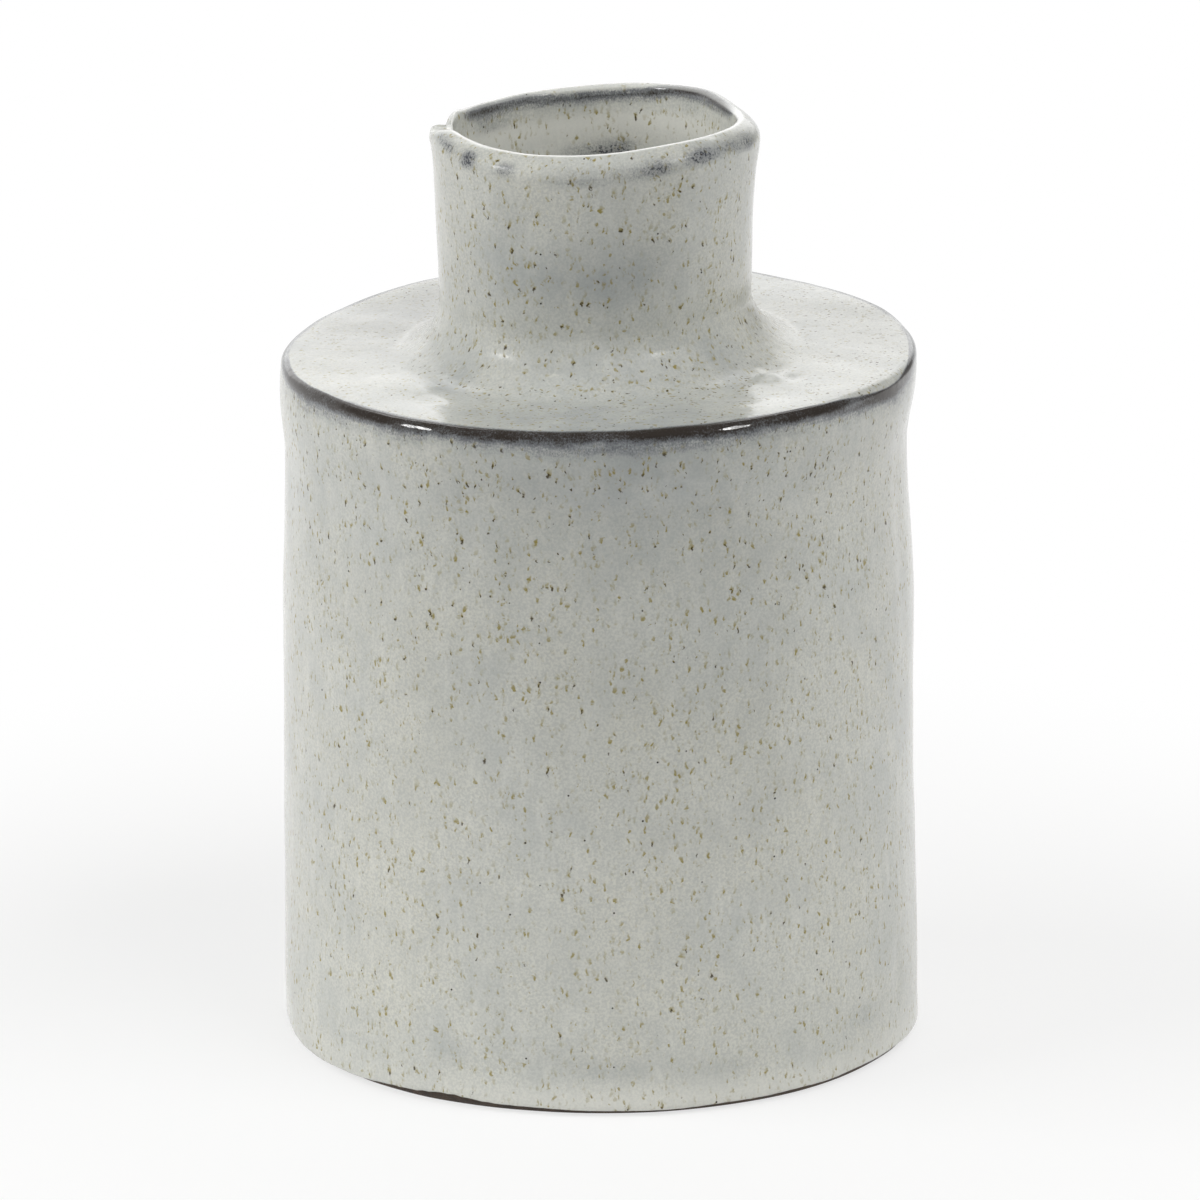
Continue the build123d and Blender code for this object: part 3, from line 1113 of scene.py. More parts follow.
@dataclass(frozen=True)
class GlazeFinish:
    """Glossy opaque pale grey glaze with iron specks, dark where it runs thin and creamy where it pools,
    with some painted light, painted shade and a painted highlight.
    """

    pale: Colour = (0.6, 0.606, 0.556)
    shade: Colour = (0.44, 0.452, 0.43)
    cool: Colour = (0.51, 0.525, 0.498)
    warm: Colour = (0.625, 0.614, 0.53)
    # Cream of milky runs and pooled glaze, and also of the painted light inside the neck.
    cream: Colour = (0.76, 0.758, 0.7)
    # White of the painted highlight along the lip's crest.
    white: Colour = (0.9, 0.9, 0.87)
    # Blue-grey of cloudy glaze and of painted shade.
    mist_and_shade: Colour = (0.33, 0.352, 0.355)
    ochre: Colour = (0.265, 0.212, 0.03)
    iron: Colour = (0.055, 0.038, 0.018)
    brown: Colour = (0.026, 0.019, 0.014)
    slate: Colour = (0.12, 0.13, 0.15)
    ink: Colour = (0.03, 0.033, 0.045)
    roughness: float = 0.13
    ior: float = 1.54
    pit_spacing: float = 3.2
    ripple_depth: float = 0.00015
    streak_spacing: float = 1.04
    streak_width: float = 0.41
    faint_spacing: float = 1.15
    faint_width: float = 0.44
    faint_share: float = 0.75
    faint_dark_share: float = 0.02

    def body_colour(self, board: Board, place: Socket) -> Socket:
        """Pale grey with cool and warm cloudy tones, a fine grain, milky runs, creamy pools with painted
        light inside the neck, and blue-grey patches that are partly cloudy glaze and partly painted shade.

        Args:
            board: Board of the material.
            place: Place on the piece in millimetres.

        Returns:
            The colour.
        """
        grit = GritGroup.place(board, Place=place, Grain_Size=0.55, Mottle_Size=30.0)
        cloud = board.noise(board.moved(place, (310.0, 40.0, 90.0)), 15.0, 2.0, 0.55, 0.6)
        running = board.scaled(place, (1.0, 1.0, 0.28))
        milk = board.noise(board.moved(running, (20.0, 140.0, 60.0)), 3.2, 3.0, 0.6, 0.5)
        colour = board.blend(board.fade(cloud, 0.36, 0.72), self.pale, self.cool)
        colour = board.blend(board.times(grit["Mottle"], 0.45), colour, self.warm)
        colour = board.blend(board.fade(grit["Grain"], 0.0, 1.0, 0.0, 0.7), colour, self.shade)
        colour = board.blend(board.fade(milk, 0.45, 0.75, 0.0, 0.22), colour, self.cream)
        # Cream where the glaze pools, and painted light inside the neck.
        colour = board.blend(board.attribute(Mask.POOL_AND_LIGHT), colour, self.cream)
        # Blue-grey of cloudy glaze and of painted shade.
        drift = board.fade(board.noise(place, 9.0, 3.0, 0.6), 0.3, 0.7, 0.6, 1.25)
        return board.blend(board.times(board.attribute(Mask.CLOUD_AND_SHADE), drift), colour, self.mist_and_shade)

    def with_specks(self, board: Board, place: Socket, colour: Socket) -> Socket:
        """Clusters of iron specks that ran down, denser and darker near the shoulder, over faint ones.

        Args:
            board: Board of the material.
            place: Place on the piece in millimetres.
            colour: Colour below the specks.

        Returns:
            The colour with the specks.
        """
        height = board.add("SeparateXYZ", Vector=place).outputs["Z"]
        cluster = board.noise(board.moved(place, (70.0, 190.0, 20.0)), 7.0)
        share = board.fade(cluster, 0.36, 0.64, 0.25, board.fade(height, 20.0, 150.0, 0.76, 1.0))
        drift = board.add("TexNoise", Vector=place, Scale=0.3).outputs["Color"]
        slanted = board.moved(place, board.scaled(drift, (2.4, 2.4, 1.2)))
        dark = board.fade(height, 85.0, 150.0, 0.06, board.fade(height, 156.0, 172.0, 0.6, 0.24))
        sizes = {"Spacing": self.streak_spacing, "Width": self.streak_width}
        streaks = SpeckleGroup.place(board, Place=slanted, Share=share, Dark_Share=dark, **sizes)
        aside = board.moved(slanted, (50.0, 30.0, 10.0))
        sizes = {"Spacing": self.faint_spacing, "Width": self.faint_width}
        shares = {"Share": self.faint_share, "Dark_Share": self.faint_dark_share}
        faint = SpeckleGroup.place(board, Place=aside, **sizes, **shares)
        colour = board.blend(board.times(faint["Speck"], 0.4), colour, self.ochre)
        colour = board.blend(board.times(streaks["Speck"], 0.95), colour, self.ochre)
        foot = board.math("MAXIMUM", streaks["Foot"], faint["Foot"])
        return board.blend(board.times(foot, 0.92), colour, self.iron)

    def with_breaks(self, board: Board, place: Socket, colour: Socket) -> Socket:
        """Slate haze and dark brown where the glaze runs thin, and inky dots in the smoky places.

        Args:
            board: Board of the material.
            place: Place on the piece in millimetres.
            colour: Colour where the glaze is thick.

        Returns:
            The colour with the thin and smoky places.
        """
        grain = board.noise(board.scaled(place, (1.0, 1.0, 0.8)), 0.38, 2.0, 0.7)
        wisps = board.noise(board.scaled(place, (0.22, 0.22, 1.0)), 2.2, 3.0, 0.6)
        grainy = board.times(board.math("SUBTRACT", grain, 0.5), 1.7)
        uneven = board.plus(grainy, board.times(board.math("SUBTRACT", wisps, 0.5), 1.5))
        thin, smoke = board.attribute(Mask.THIN), board.attribute(Mask.SMOKE)
        ragged = board.plus(thin, board.times(uneven, board.fade(thin, 0.0, 0.5, 0.0, 0.6)))
        hazy = board.plus(smoke, board.times(uneven, board.fade(smoke, 0.0, 0.5, 0.0, 0.6)))
        dotted = board.plus(board.noise(place, 0.55, 2.0, 0.6), board.times(smoke, 0.3))
        dots = board.times(board.fade(dotted, 0.74, 0.84), board.fade(smoke, 0.4, 0.9, 0.0, 0.9))
        colour = board.blend(board.fade(hazy, 0.1, 1.0, 0.0, 0.7), colour, self.slate)
        colour = board.blend(dots, colour, self.ink)
        colour = board.blend(board.fade(ragged, 0.06, 0.65, 0.0, 0.82), colour, self.slate)
        return board.blend(board.fade(ragged, 0.5, 1.15, 0.0, 0.98), colour, self.brown)

    def pits(self, board: Board, place: Socket) -> Socket:
        """Mask of small pits in the glaze: round holes in a few cells of a scattered pattern.

        Args:
            board: Board of the material.
            place: Place on the piece in millimetres.

        Returns:
            The mask, 1 in the pits.
        """
        settings = {"voronoi_dimensions": "3D"}
        cells = board.add("TexVoronoi", settings, Vector=place, Scale=1.0 / self.pit_spacing).outputs
        chosen = board.add("SeparateColor", Color=cells["Color"]).outputs["Red"]
        hole = board.fade(board.times(cells["Distance"], self.pit_spacing), 0.32, 0.15)
        return board.times(hole, board.math("GREATER_THAN", chosen, 0.87))

    def material(self) -> bpy.types.Material:
        """Make the material: colour in layers, a gloss that varies a little and a faintly wavy surface.

        Returns:
            The material.
        """
        material = bpy.data.materials.new("speckled_glaze")
        material.use_nodes = True
        board = Board(material.node_tree)
        place = board.millimetres()
        pit = self.pits(board, place)
        colour = self.body_colour(board, place)
        colour = self.with_specks(board, place, colour)
        colour = self.with_breaks(board, place, colour)
        # Painted highlight: white laid along the lip's crest.
        colour = board.blend(board.attribute(Mask.CREST_HIGHLIGHT), colour, self.white)
        colour = board.blend(pit, colour, self.brown)
        gloss = board.noise(place, 3.0)
        roughness = board.fade(gloss, 0.3, 0.7, self.roughness - 0.03, self.roughness + 0.05)
        roughness = board.plus(roughness, board.times(board.attribute(Mask.SATIN), 0.16))
        ripple = board.plus(board.noise(place, 2.6, 1.0), board.times(board.noise(place, 0.5), 0.22))
        height = board.math("SUBTRACT", ripple, board.times(pit, 0.8))
        bump = board.add("Bump", Height=height, Strength=0.45, Distance=self.ripple_depth)
        shader = board.add("BsdfPrincipled", Base_Color=colour, Roughness=roughness, IOR=self.ior)
        board.put(shader.inputs["Normal"], bump.outputs["Normal"])
        board.add("OutputMaterial", Surface=shader.outputs["BSDF"])
        return material


@dataclass
class ClayPart:
    """Clay pieces that share the sizes, the handwork and the number of columns round the axis."""

    form: Form
    handwork: Handwork
    columns: int = 200

    def shape(self, node: str, profile: Array, clay: bpy.types.Material, closed: bool = True) -> None:
        """Carry a profile round the axis, bend it by hand and dress it in bare clay.

        Args:
            node: Node that the piece stands for.
            profile: Stations with the outside on the left, ending on the first one where it is closed.
            clay: Material of the piece.
            closed: Whether the profile is closed. Otherwise it runs from axis to axis.
        """
        stations = profile[:-1] if closed else profile
        turns = self.handwork.turns(self.columns)
        points = self.handwork.bend(Points(stations[:, :1], stations[:, 1:], turns))
        settle(mesh_piece(node + "_clay", points, closed), node, clay)

    def coil(
        self, node: str, face: Array, corner: Station, clay: bpy.types.Material, steps: int = 4
    ) -> None:
        """Shape a coil from its hollow face and the corner that it is pressed into."""
        sides = (line(face[-1], corner, steps), line(corner, face[0], steps))
        self.shape(node, joined(face, *sides), clay)


@dataclass
class Foot(ClayPart):
    """The round floor slab, with its bare rounded foot, and the coil in the corner above it."""

    def build(self, clay: bpy.types.Material) -> None:
        """Make the slab and the coil.

        Args:
            clay: Material of both.
        """
        form = self.form
        centre = (form.body_radius - form.foot_round, form.foot_round)
        slab = joined(
            line((0.0, form.floor_thickness), (form.body_radius, form.floor_thickness), 8),
            line((form.body_radius, form.floor_thickness), (form.body_radius, form.foot_round), 6),
            arc(centre, form.foot_round, 0.0, -90.0, 14),
            line((centre[0], 0.0), (0.0, 0.0), 8),
        )
        self.shape("base_slab", slab, clay, closed=False)
        corner = (form.body_radius - form.wall_thickness, form.floor_thickness)
        self.coil("floor_coil", form.floor_coil.face(8), corner, clay)


@dataclass
class Body(ClayPart):
    """The slab that is rolled into the body's wall."""

    def build(self, clay: bpy.types.Material) -> None:
        """Make the wall.

        Args:
            clay: Material of the wall.
        """
        form = self.form
        low, high = form.floor_thickness, form.shoulder_underside
        wall = joined(
            form.wall(high, low, 0.0, 36),
            line((form.body_radius, low), (form.body_radius - form.wall_thickness, low), 4),
            form.wall(low, high, form.wall_thickness, 36),
            line((form.shoulder_radius - form.wall_thickness, high), (form.shoulder_radius, high), 4),
        )
        self.shape("body_wall", wall, clay)


@dataclass
class Shoulder(ClayPart):
    """The round slab with a hole that lies on the wall, and the coil in the corner below it."""

    def build(self, clay: bpy.types.Material) -> None:
        """Make the slab and the coil.

        Args:
            clay: Material of both.
        """
        form = self.form
        slab = joined(
            form.shoulder_hole(8, 6, 4),
            line((form.hole_radius, form.body_height), form.neck_coil.end, 8),
            form.shoulder_outside(12, 10, 4),
            line((form.shoulder_radius, form.shoulder_underside), form.shoulder_coil.end, 8),
        )
        self.shape("shoulder_slab", slab, clay)
        corner = (form.shoulder_radius - form.wall_thickness, form.shoulder_underside)
        self.coil("shoulder_coil", form.shoulder_coil.face(8), corner, clay)


@dataclass
class Neck(ClayPart):
    """The strip rolled into the neck, with its lip and its lap, and the coil smeared round its foot."""

    columns: int = 240

    def build(self, clay: bpy.types.Material) -> None:
        """Make the collar and the coil.

        Args:
            clay: Material of both.
        """
        form = self.form
        foot = (form.neck_radius, form.body_height)
        collar = joined(
            form.neck_inside(20),
            form.lip(16),
            form.neck_outside(20),
            line(form.neck_coil.start, foot, 6),
            line(foot, (form.hole_radius, form.body_height), 4),
        )
        self.shape("neck_collar", collar, clay)
        self.coil("neck_coil", form.neck_coil.face(14), foot, clay, steps=5)


@dataclass(frozen=True)
class Bloom:
    """A smoky place near the lip: direction, length past the crest, spreads and strength."""

    angle: float
    past_crest: float
    around: float
    across: float
    strength: float

    def at(self, radius: float, past_crest: Array, turns: Array) -> Array:
        """Strength at each place: a hill along the ring times a hill across the profile."""
        along = turn_from(turns, self.angle) * radius
        return self.strength * hill(along, self.around) * hill(past_crest - self.past_crest, self.across)


@dataclass
class GlazeCoat:
    """The coat of glaze over all the clay, inside and outside, down to its wavy line on the foot.

    The waves of that line are given by size in degrees, number to the round, and phase.
    """

    form: Form
    handwork: Handwork
    columns: int = 320
    band_rings: int = 12
    roll_rings: int = 7
    back_rings: int = 5
    back_fine: float = 0.2
    foot_band: float = 12.0
    glaze_stop: float = 28.0
    line_waves: tuple[tuple[float, int, float], ...] = ((3.0, 4, 0.6), (2.0, 9, 2.0), (1.5, 23, 1.0))
    roll: float = 0.8
    lip_thinning: float = 0.15
    thinning_reach: float = 3.0
    pooling: float = 0.3
    satin_offset: float = 5.0
    satin_reach: float = 9.0
    blooms: tuple[Bloom, ...] = (
        Bloom(199, 1.6, 5, 1.4, 0.6),
        Bloom(208, 2, 3, 1.3, 0.55),
        Bloom(220, 2.1, 2.6, 1.4, 0.9),
        Bloom(237, 2.3, 2.6, 1.2, 0.68),
        Bloom(225, 2.4, 12, 2.4, 0.22),
        Bloom(262, 3.5, 7, 2.4, 0.4),
        Bloom(281, 3.4, 8, 2.4, 0.42),
        Bloom(292, 2.9, 4, 1.7, 0.6),
        Bloom(307, 2.3, 4.8, 1.7, 0.86),
        Bloom(322, 2.1, 6, 1.7, 0.62),
        Bloom(336, 2.2, 5, 1.8, 0.68),
        Bloom(140, -5.2, 12, 2.6, 0.5),
        Bloom(48, -4.6, 8, 2, 0.36),
        Bloom(80, -15, 7, 2.4, 0.75),
        Bloom(96, -15, 8, 2.4, 0.55),
    )
    # The first five are painted shade on the body's front under the shoulder (partly bluer glaze there), on
    # the shoulder's front and in the cove at the neck's foot. The three on the neck and the last two are
    # cloudy glaze. The four at the foot are painted shade in its dents.
    clouds_and_shade: tuple[CloudAndShade, ...] = (
        CloudAndShade(277, 70, 147, 38, 33, 0.5),
        CloudAndShade(266, 56, 155, 38, 14, 0.3),
        CloudAndShade(272, 37, 161, 30, 4, 0.25),
        CloudAndShade(224, 45, 156, 8, 7, 0.6),
        CloudAndShade(316, 40, 158.5, 7, 8, 0.6),
        CloudAndShade(271, 35, 180, 13, 7, 0.75),
        CloudAndShade(236, 35, 183, 11, 14, 0.28),
        CloudAndShade(212, 34.5, 172, 8, 9, 0.22),
        CloudAndShade(242, 70, 13, 5, 3, 0.4),
        CloudAndShade(271, 70, 10.5, 8, 2.6, 0.45),
        CloudAndShade(294, 70, 9.5, 5, 2.4, 0.3),
        CloudAndShade(326, 70, 13, 7, 2.8, 0.45),
        CloudAndShade(100, 70, 140, 30, 24, 0.4),
        CloudAndShade(170, 70, 60, 24, 20, 0.3),
    )

    def clay_face(self, fine: float) -> Array:
        """Profile of the clay that the glaze covers, from the floor's middle over the lip to the foot band.

        Args:
            fine: Share of the full number of stations.

        Returns:
            The stations as rows of radius and height, with the free side on the left.
        """
        form = self.form

        def count(full: int) -> int:
            """Number of stations on a stretch."""
            return max(3, round(full * fine))

        return joined(
            line((0.0, form.floor_thickness), form.floor_coil.start, count(6)),
            form.floor_coil.face(count(7)),
            form.wall_inside(count(14)),
            form.shoulder_coil.face(count(7)),
            form.shoulder_hole(count(6), count(5), count(3)),
            form.neck_inside(count(24)),
            form.lip(count(28)),
            form.neck_outside(count(32)),
            form.neck_coil.face(count(22)),
            form.shoulder_outside(count(20), count(16), count(5)),
            form.wall(form.shoulder_underside, self.foot_band, 0.0, count(52)),
        )

    def stop_length(self, turns: Array) -> Array:
        """Length of the foot band down to the glaze line, which lies at a varying turn on the foot's round.

        The turn has slow waves and a ragged edge, is less over a worn place at the front left and at the
        front right, and more at the left.

        Args:
            turns: Angles of the columns.

        Returns:
            The length at each angle.
        """
        form = self.form
        waves = sum(size * np.sin(count * turns + phase) for size, count, phase in self.line_waves)
        worn = hill(turn_from(turns, 240), 0.17)
        ragged = (1.2 + 3.0 * worn) * np.sin(41 * turns) * np.sin(67 * turns + 0.7)
        sides = 26.0 * hill(turn_from(turns, 196), 0.38) - 8.0 * hill(turn_from(turns, 325), 0.4)
        stop = np.radians(self.glaze_stop + waves - 20.0 * worn + ragged + sides)
        return self.foot_band - form.foot_round + form.foot_round * stop

    def foot_band_at(self, down: Array, thick: Array) -> Array:
        """Places on the foot band at a length down from its top and a height above the clay.

        The band is upright down to the foot's round and then turns under it.

        Args:
            down: Lengths down from the top of the band.
            thick: Heights above the clay.

        Returns:
            Radii and heights in the last axis.
        """
        form = self.form
        upright = self.foot_band - form.foot_round
        turn = np.maximum(0.0, down - upright) / form.foot_round
        reach = form.foot_round + thick
        radius = form.body_radius - form.foot_round + reach * np.cos(turn)
        height = self.foot_band - np.minimum(down, upright) - reach * np.sin(turn)
        return np.stack([radius, height], axis=-1)

    def thickness(self, profile: Array) -> Array:
        """Thickness of the glaze at each station: even, thinner over the shoulder's edge and the lip.

        Args:
            profile: Stations of the clay face.

        Returns:
            The thickness at each station.
        """
        form = self.form
        radius, height = profile.T
        edge = np.hypot(radius - form.shoulder_radius, height - form.body_height)
        lip = np.hypot(radius - form.lip_radius + form.lip_round, height - form.lip_height)
        thinner = form.edge_thinning * hill(edge, self.thinning_reach)
        return form.glaze_thickness * (1.0 - thinner - self.lip_thinning * hill(lip, self.thinning_reach))

    def edge_break(self, past_edge: Array, turns: Array) -> Array:
        """Thinness of the glaze over the shoulder's edge.

        A dark core lies in a haze. Both sit lower at the right and the left, waver and fray round the vase,
        and are weaker at two places on its sides.

        Args:
            past_edge: Lengths along the profile past the edge.
            turns: Angles of the columns.

        Returns:
            The thinness at each place, about 1 in the core.
        """
        left = eased(np.abs(degrees_from(turns, 165)), (14, 0.5), (30, 1.0))
        right = eased(np.abs(degrees_from(turns, 8)), (9, 0.5), (19, 1.0))
        low = past_edge - 2.2 * hill(turn_from(turns, 335), 0.3) - 0.6 * hill(turn_from(turns, 198), 0.25)
        frayed = eased(low, (0.2, 0.0), (1.6, 0.3), (5.0, 0.8))
        low = low + frayed * np.sin(29 * turns + 0.4) * np.sin(53 * turns)
        core = eased(low, (-1.5, 0.0), (-0.95, 1.12), (0.5, 1.08), (2.3, 0.4), (3.2, 0.0))
        core = core * (1.0 + 0.07 * np.sin(5 * turns + 1.0) + 0.08 * np.sin(13 * turns + 0.5))
        haze = eased(low, (-1.0, 0.0), (0.5, 0.5), (2.2, 0.5), (3.2, 0.38), (5.2, 0.17), (7.5, 0.0))
        misty = 0.8 + 0.2 * hill(turn_from(turns, 266), 0.3) - 0.3 * hill(turn_from(turns, 241), 0.1)
        misty = misty + 0.15 * np.sin(4 * turns) * np.sin(9 * turns)
        return np.maximum(core, haze * misty) * left * right

    def lip_break(self, past_lip: Array, turned: Array) -> Array:
        """Thinness inside the back of the lip: a band whose distance from the crest drifts round the vase.

        Args:
            past_lip: Lengths along the profile past the crest.
            turned: Turn of the columns from the back in degrees.

        Returns:
            The thinness at each place.
        """
        aside = eased(turned, (-40, 1.1), (-12, -0.4), (10, -0.4), (32, 0.5))
        inside = eased(past_lip - aside, (-5.6, 0.0), (-4.0, 0.35), (-2.9, 0.8), (-2.2, 0.6), (-1.3, 0.0))
        brown = eased(turned, (-60, 1.3), (-30, 1.2), (-10, 1.0), (30, 0.95), (55, 1.1))
        return inside * brown * eased(np.abs(turned + 5), (66, 1.0), (84, 0.0))

    def masks(self, profile: Array, band: Array, turns: Array, rings: int) -> dict[Mask, Array]:
        """Where the glaze is thin, smoky, pooled or cloudy, less glossy, and where painted light, painted
        shade and a painted highlight along the lip's crest lie.

        Args:
            profile: Stations of the clay face.
            band: Lengths down the foot band, by ring and column.
            turns: Angles of the columns.
            rings: Number of rings of the whole coat.

        Returns:
            The value of each mask, by ring and column.
        """
        form = self.form
        along = lengths_along(profile)
        radius, height = profile[:, :1], profile[:, 1:]
        edge_at = along[np.argmin(np.hypot(radius - form.shoulder_radius, height - form.body_height))]
        past_edge = (along - edge_at)[:, None]
        past_lip = (along - along[np.argmax(height)])[:, None]
        turned = degrees_from(turns, 90)
        smoke = sum(bloom.at(form.lip_radius, past_lip, turns) for bloom in self.blooms)
        # Painted highlight: a white line just outside the lip's crest, full at the front and weaker at the
        # back.
        crest_highlight = eased(past_lip, (-2.0, 0.0), (-1.6, 0.9), (-0.8, 0.9), (-0.3, 0.0))
        beside_neck = radius - form.neck_radius - self.satin_offset
        coil = np.hypot(beside_neck, height - form.body_height - self.satin_offset)
        shown = 0.35 + 0.65 * eased(np.abs(degrees_from(turns, 305)), (35, 1.0), (75, 0.0))
        whole = {mask: np.zeros((rings, len(turns))) for mask in Mask}
        face = slice(0, len(profile))
        foot = slice(len(profile), len(profile) + len(band))
        edge, lip = self.edge_break(past_edge, turns), self.lip_break(past_lip, turned)
        whole[Mask.THIN][face] = np.maximum(edge, lip)
        whole[Mask.SMOKE][face] = smoke
        whole[Mask.CREST_HIGHLIGHT][face] = crest_highlight * eased(np.abs(turned), (60, 0.4), (100, 1.0))
        # Inside the neck below the lip the cream is painted light that brightens it; on the foot it is the
        # cream of pooled glaze.
        whole[Mask.POOL_AND_LIGHT][face] = eased(past_lip, (-22.0, 0.1), (-13.0, 0.45), (-8.5, 0.75), (-5.0, 0.0))
        whole[Mask.POOL_AND_LIGHT][foot] = eased(band, (2.0, 0.0), (9.5, 0.5)) * shown
        whole[Mask.SATIN][face] = np.minimum(hill(coil, self.satin_reach) + smoke, 1.0)
        above = Points(radius, height, turns)
        below = Points(form.body_radius, np.maximum(self.foot_band - band, 0.0), turns)
        # Blue-grey of cloudy glaze and painted shade, from the listed patches.
        for cloud in self.clouds_and_shade:
            whole[Mask.CLOUD_AND_SHADE][face] += cloud.strength * cloud.weight(above)
            whole[Mask.CLOUD_AND_SHADE][foot] += cloud.strength * cloud.weight(below)
        return whole

    def build(self, glaze: bpy.types.Material) -> None:
        """Make the coat as one closed skin: its face, the roll at its edge, and back along the clay.

        Args:
            glaze: Material of the coat.
        """
        form = self.form
        turns = self.handwork.turns(self.columns)
        profile = self.clay_face(1.0)
        face = profile + left_normals(profile) * self.thickness(profile)[:, None]
        face[0, 0] = 0.0
        stop = self.stop_length(turns)
        share = np.linspace(0.0, 1.0, self.band_rings)[1:, None] ** 0.8
        roll_turn = np.linspace(0.0, math.pi / 2.0, self.roll_rings)[1:, None]
        roll_start = stop - self.roll
        band = np.concatenate([share * roll_start, roll_start + self.roll * np.sin(roll_turn)])
        full = form.glaze_thickness * (1.0 + self.pooling * eased(band / stop, (0.25, 0.0), (0.85, 1.0)))
        into_roll = np.maximum(0.0, band - roll_start) / self.roll
        outer = self.foot_band_at(band, full * np.sqrt(np.clip(1.0 - into_roll**2, 0.0, 1.0)))
        back = np.linspace(0.85, 0.0, self.back_rings)[:, None]
        inner = self.foot_band_at(back * stop, np.zeros_like(back))
        behind = self.clay_face(self.back_fine)[::-1][1:]
        across = np.ones((1, self.columns, 1))
        grid = np.concatenate([face[:, None] * across, outer, inner, behind[:, None] * across])
        points = self.handwork.bend(Points(grid[..., 0], grid[..., 1], turns))
        masks = self.masks(profile, band, turns, len(grid))
        settle(mesh_piece("glaze_skin", points, False, masks), "glaze_coat", glaze)


def aimed(
    name: str, data: bpy.types.ID, target: Place, bearing: float, elevation: float, distance: float
) -> bpy.types.Object:
    """Put a lamp or a camera at a bearing and an elevation from the target, and turn it to the target.

    Args:
        name: Name of the object.
        data: Lamp or camera.
        target: Place that it looks at.
        bearing: Bearing from the front in degrees, growing to the right.
        elevation: Elevation in degrees.
        distance: Distance from the target in metres.

    Returns:
        The object.
    """
    around, rise = math.radians(bearing), math.radians(elevation)
    level = distance * math.cos(rise)
    thing = bpy.data.objects.new(name, data)
    thing.location = (
        target[0] + level * math.sin(around),
        target[1] - level * math.cos(around),
        target[2] + distance * math.sin(rise),
    )
    thing.rotation_euler = (math.pi / 2.0 - rise, 0.0, around)
    bpy.context.scene.collection.objects.link(thing)
    return thing


@dataclass(frozen=True)
class Lamp:
    """A soft box: bearing from the front and elevation in degrees, size in metres, and brightness."""

    name: str
    bearing: float
    elevation: float
    distance: float
    width: float
    height: float
    brightness: float
    gives: Gives = Gives.LIGHT

    def build(self, target: Place) -> None:
        """Hang the lamp and turn it to the target.

        Args:
            target: Place that the lamp shines at.
        """
        data = bpy.data.lights.new(self.name, "AREA")
        data.shape = "RECTANGLE"
        data.size, data.size_y = self.width, self.height
        data.energy = self.brightness * math.pi * self.width * self.height
        lamp = aimed(self.name, data, target, self.bearing, self.elevation, self.distance)
        lamp.visible_diffuse = self.gives is Gives.LIGHT
        lamp.visible_glossy = self.gives is Gives.GLINT


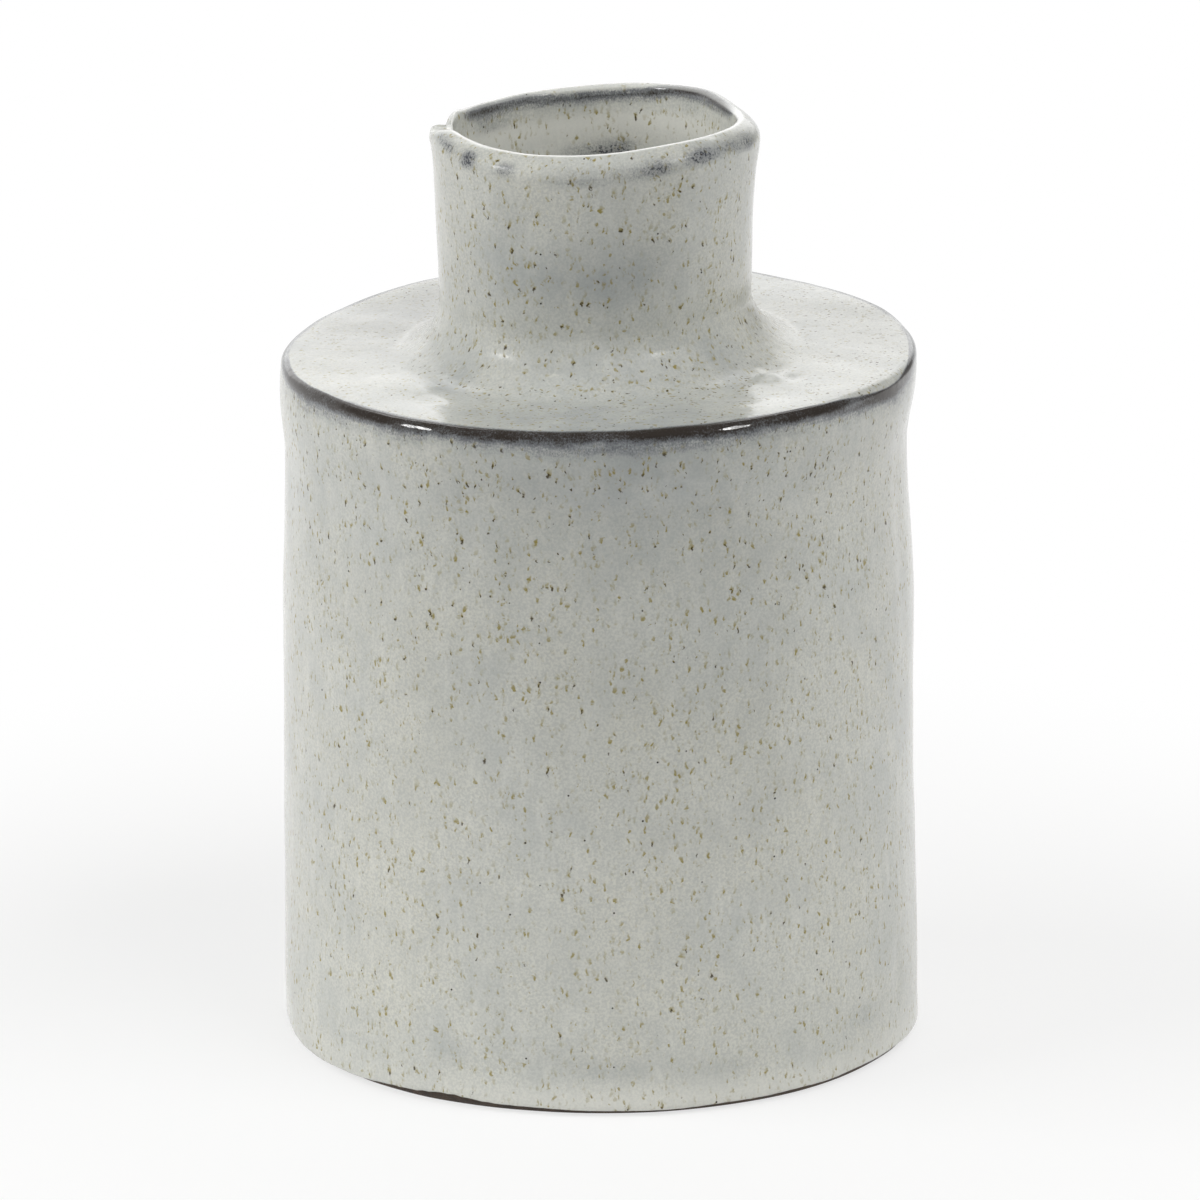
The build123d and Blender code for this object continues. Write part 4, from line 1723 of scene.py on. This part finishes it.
@dataclass
class Studio:
    """A pale floor that fades into a white surround, soft panels, lamps for glints, and the camera."""

    target: Place = (0.0, 0.0, 0.105)
    floor_radius: float = 0.3
    floor_depth: float = 0.002
    floor_colour: Colour = (0.9, 0.9, 0.89)
    white: Colour = (1.0, 1.0, 1.0)
    fill_above: float = 0.2
    fill_below: float = 0.3
    lamps: tuple[Lamp, ...] = field(
        default_factory=lambda: (
            Lamp("left_panel", -75.0, 25.0, 1.5, 1.2, 1.0, 4.3),
            Lamp("right_panel", 50.0, 50.0, 1.5, 1.2, 1.0, 3.6),
            Lamp("right_low_panel", 95.0, 5.0, 1.5, 1.2, 1.0, 0.7),
            Lamp("back_panel", 180.0, 50.0, 1.5, 1.2, 1.0, 0.6),
            Lamp("back_sheen", 180.0, 18.0, 2.0, 2.4, 0.9, 0.72, Gives.GLINT),
            Lamp("crest_strip", 178.0, 48.0, 1.8, 1.6, 0.25, 2.4, Gives.GLINT),
            Lamp("left_glint", -72.3, 30.1, 1.8, 0.15, 0.15, 40.0, Gives.GLINT),
            Lamp("right_glint", 55.3, 34.0, 1.8, 0.13, 0.13, 40.0, Gives.GLINT),
        )
    )
    camera_distance: float = 3.0
    camera_elevation: float = 16.37
    camera_lens: float = 406.5
    camera_aim: Place = (0.0001, 0.0, 0.0971)

    def seen_directly(self, board: Board) -> Socket:
        """Tell the rays from the camera, from a gloss or through glass apart from the rest.

        Args:
            board: Board of the material.

        Returns:
            1 for those rays and 0 for the rest.
        """
        path = board.add("LightPath").outputs
        seen = board.math("MAXIMUM", path["Is Camera Ray"], path["Is Glossy Ray"])
        return board.math("MAXIMUM", seen, path["Is Transmission Ray"])

    def floor(self) -> None:
        """Lay a floor whose rim fades into the white around it: rings of growing radius round a pole."""
        turns = np.linspace(0.0, TURN, 96, endpoint=False)
        radii = np.linspace(0.0, self.floor_radius / METRES, 12)[:, None]
        level = np.zeros_like(radii * turns)
        top = np.stack([radii * np.cos(turns), radii * np.sin(turns), level], axis=-1)
        below = top[::-1] - np.array([0.0, 0.0, self.floor_depth / METRES])
        piece = mesh_piece("floor", np.concatenate([top, below]), closed=False)
        material = bpy.data.materials.new("pale_floor")
        material.use_nodes = True
        board = Board(material.node_tree)
        reach = board.vector("LENGTH", board.add("TexCoord").outputs["Object"])
        clear = board.fade(reach, 0.4 * self.floor_radius, 0.97 * self.floor_radius, 0.7, 1.0)
        mixed = board.add("MixShader", Fac=board.times(clear, self.seen_directly(board)))
        board.put(mixed.inputs[1], board.add("BsdfDiffuse", Color=self.floor_colour).outputs[0])
        board.put(mixed.inputs[2], board.add("Emission", Color=self.white, Strength=1.0).outputs[0])
        board.add("OutputMaterial", Surface=mixed.outputs[0])
        piece.data.materials.append(material)

    def surround(self) -> None:
        """White for the camera, white behind and below but dim at the right for gloss, and a dim fill."""
        world = bpy.data.worlds.new("studio")
        world.use_nodes = True
        bpy.context.scene.world = world
        board = Board(world.node_tree)
        path = board.add("LightPath").outputs
        towards = board.add("SeparateXYZ", Vector=board.add("TexCoord").outputs["Generated"]).outputs
        behind = board.fade(board.math("SUBTRACT", towards["Y"], towards["Z"]), -0.3, 0.25, 0.12, 1.0)
        right = board.times(board.fade(towards["X"], 0.2, 0.5), board.fade(towards["Z"], -0.25, -0.05))
        behind = board.times(behind, board.fade(right, 0.0, 1.0, 1.0, 0.15))
        glossy = board.math("MAXIMUM", path["Is Glossy Ray"], path["Is Transmission Ray"])
        fill = board.fade(towards["Z"], -0.05, 0.05, self.fill_below, self.fill_above)
        strength = board.math("MAXIMUM", fill, board.times(glossy, behind))
        strength = board.math("MAXIMUM", strength, path["Is Camera Ray"])
        sky = board.add("Background", Color=self.white, Strength=strength)
        board.add("OutputWorld", Surface=sky.outputs[0])

    def camera(self) -> None:
        """Set up the camera at the photographed angle."""
        data = bpy.data.cameras.new("camera")
        data.lens = self.camera_lens
        data.clip_end = 20.0
        place = (self.camera_aim, 0.0, self.camera_elevation, self.camera_distance)
        bpy.context.scene.camera = aimed("camera", data, *place)

    def build(self) -> None:
        """Set up floor, surround, lamps and camera."""
        self.floor()
        self.surround()
        for lamp in self.lamps:
            lamp.build(self.target)
        self.camera()
        bpy.context.scene.view_settings.view_transform = "Standard"


def main() -> None:
    """Build the pieces in the order a potter joins them, glaze them, and set up the studio."""
    logging.basicConfig(level=logging.INFO, format="%(message)s")
    form = Form()
    handwork = Handwork(form)
    clay = StonewareFinish().material()
    for part in (Foot, Body, Shoulder, Neck):
        part(form, handwork).build(clay)
    GlazeCoat(form, handwork).build(GlazeFinish().material())
    Studio().build()


if __name__ == "__main__":
    main()
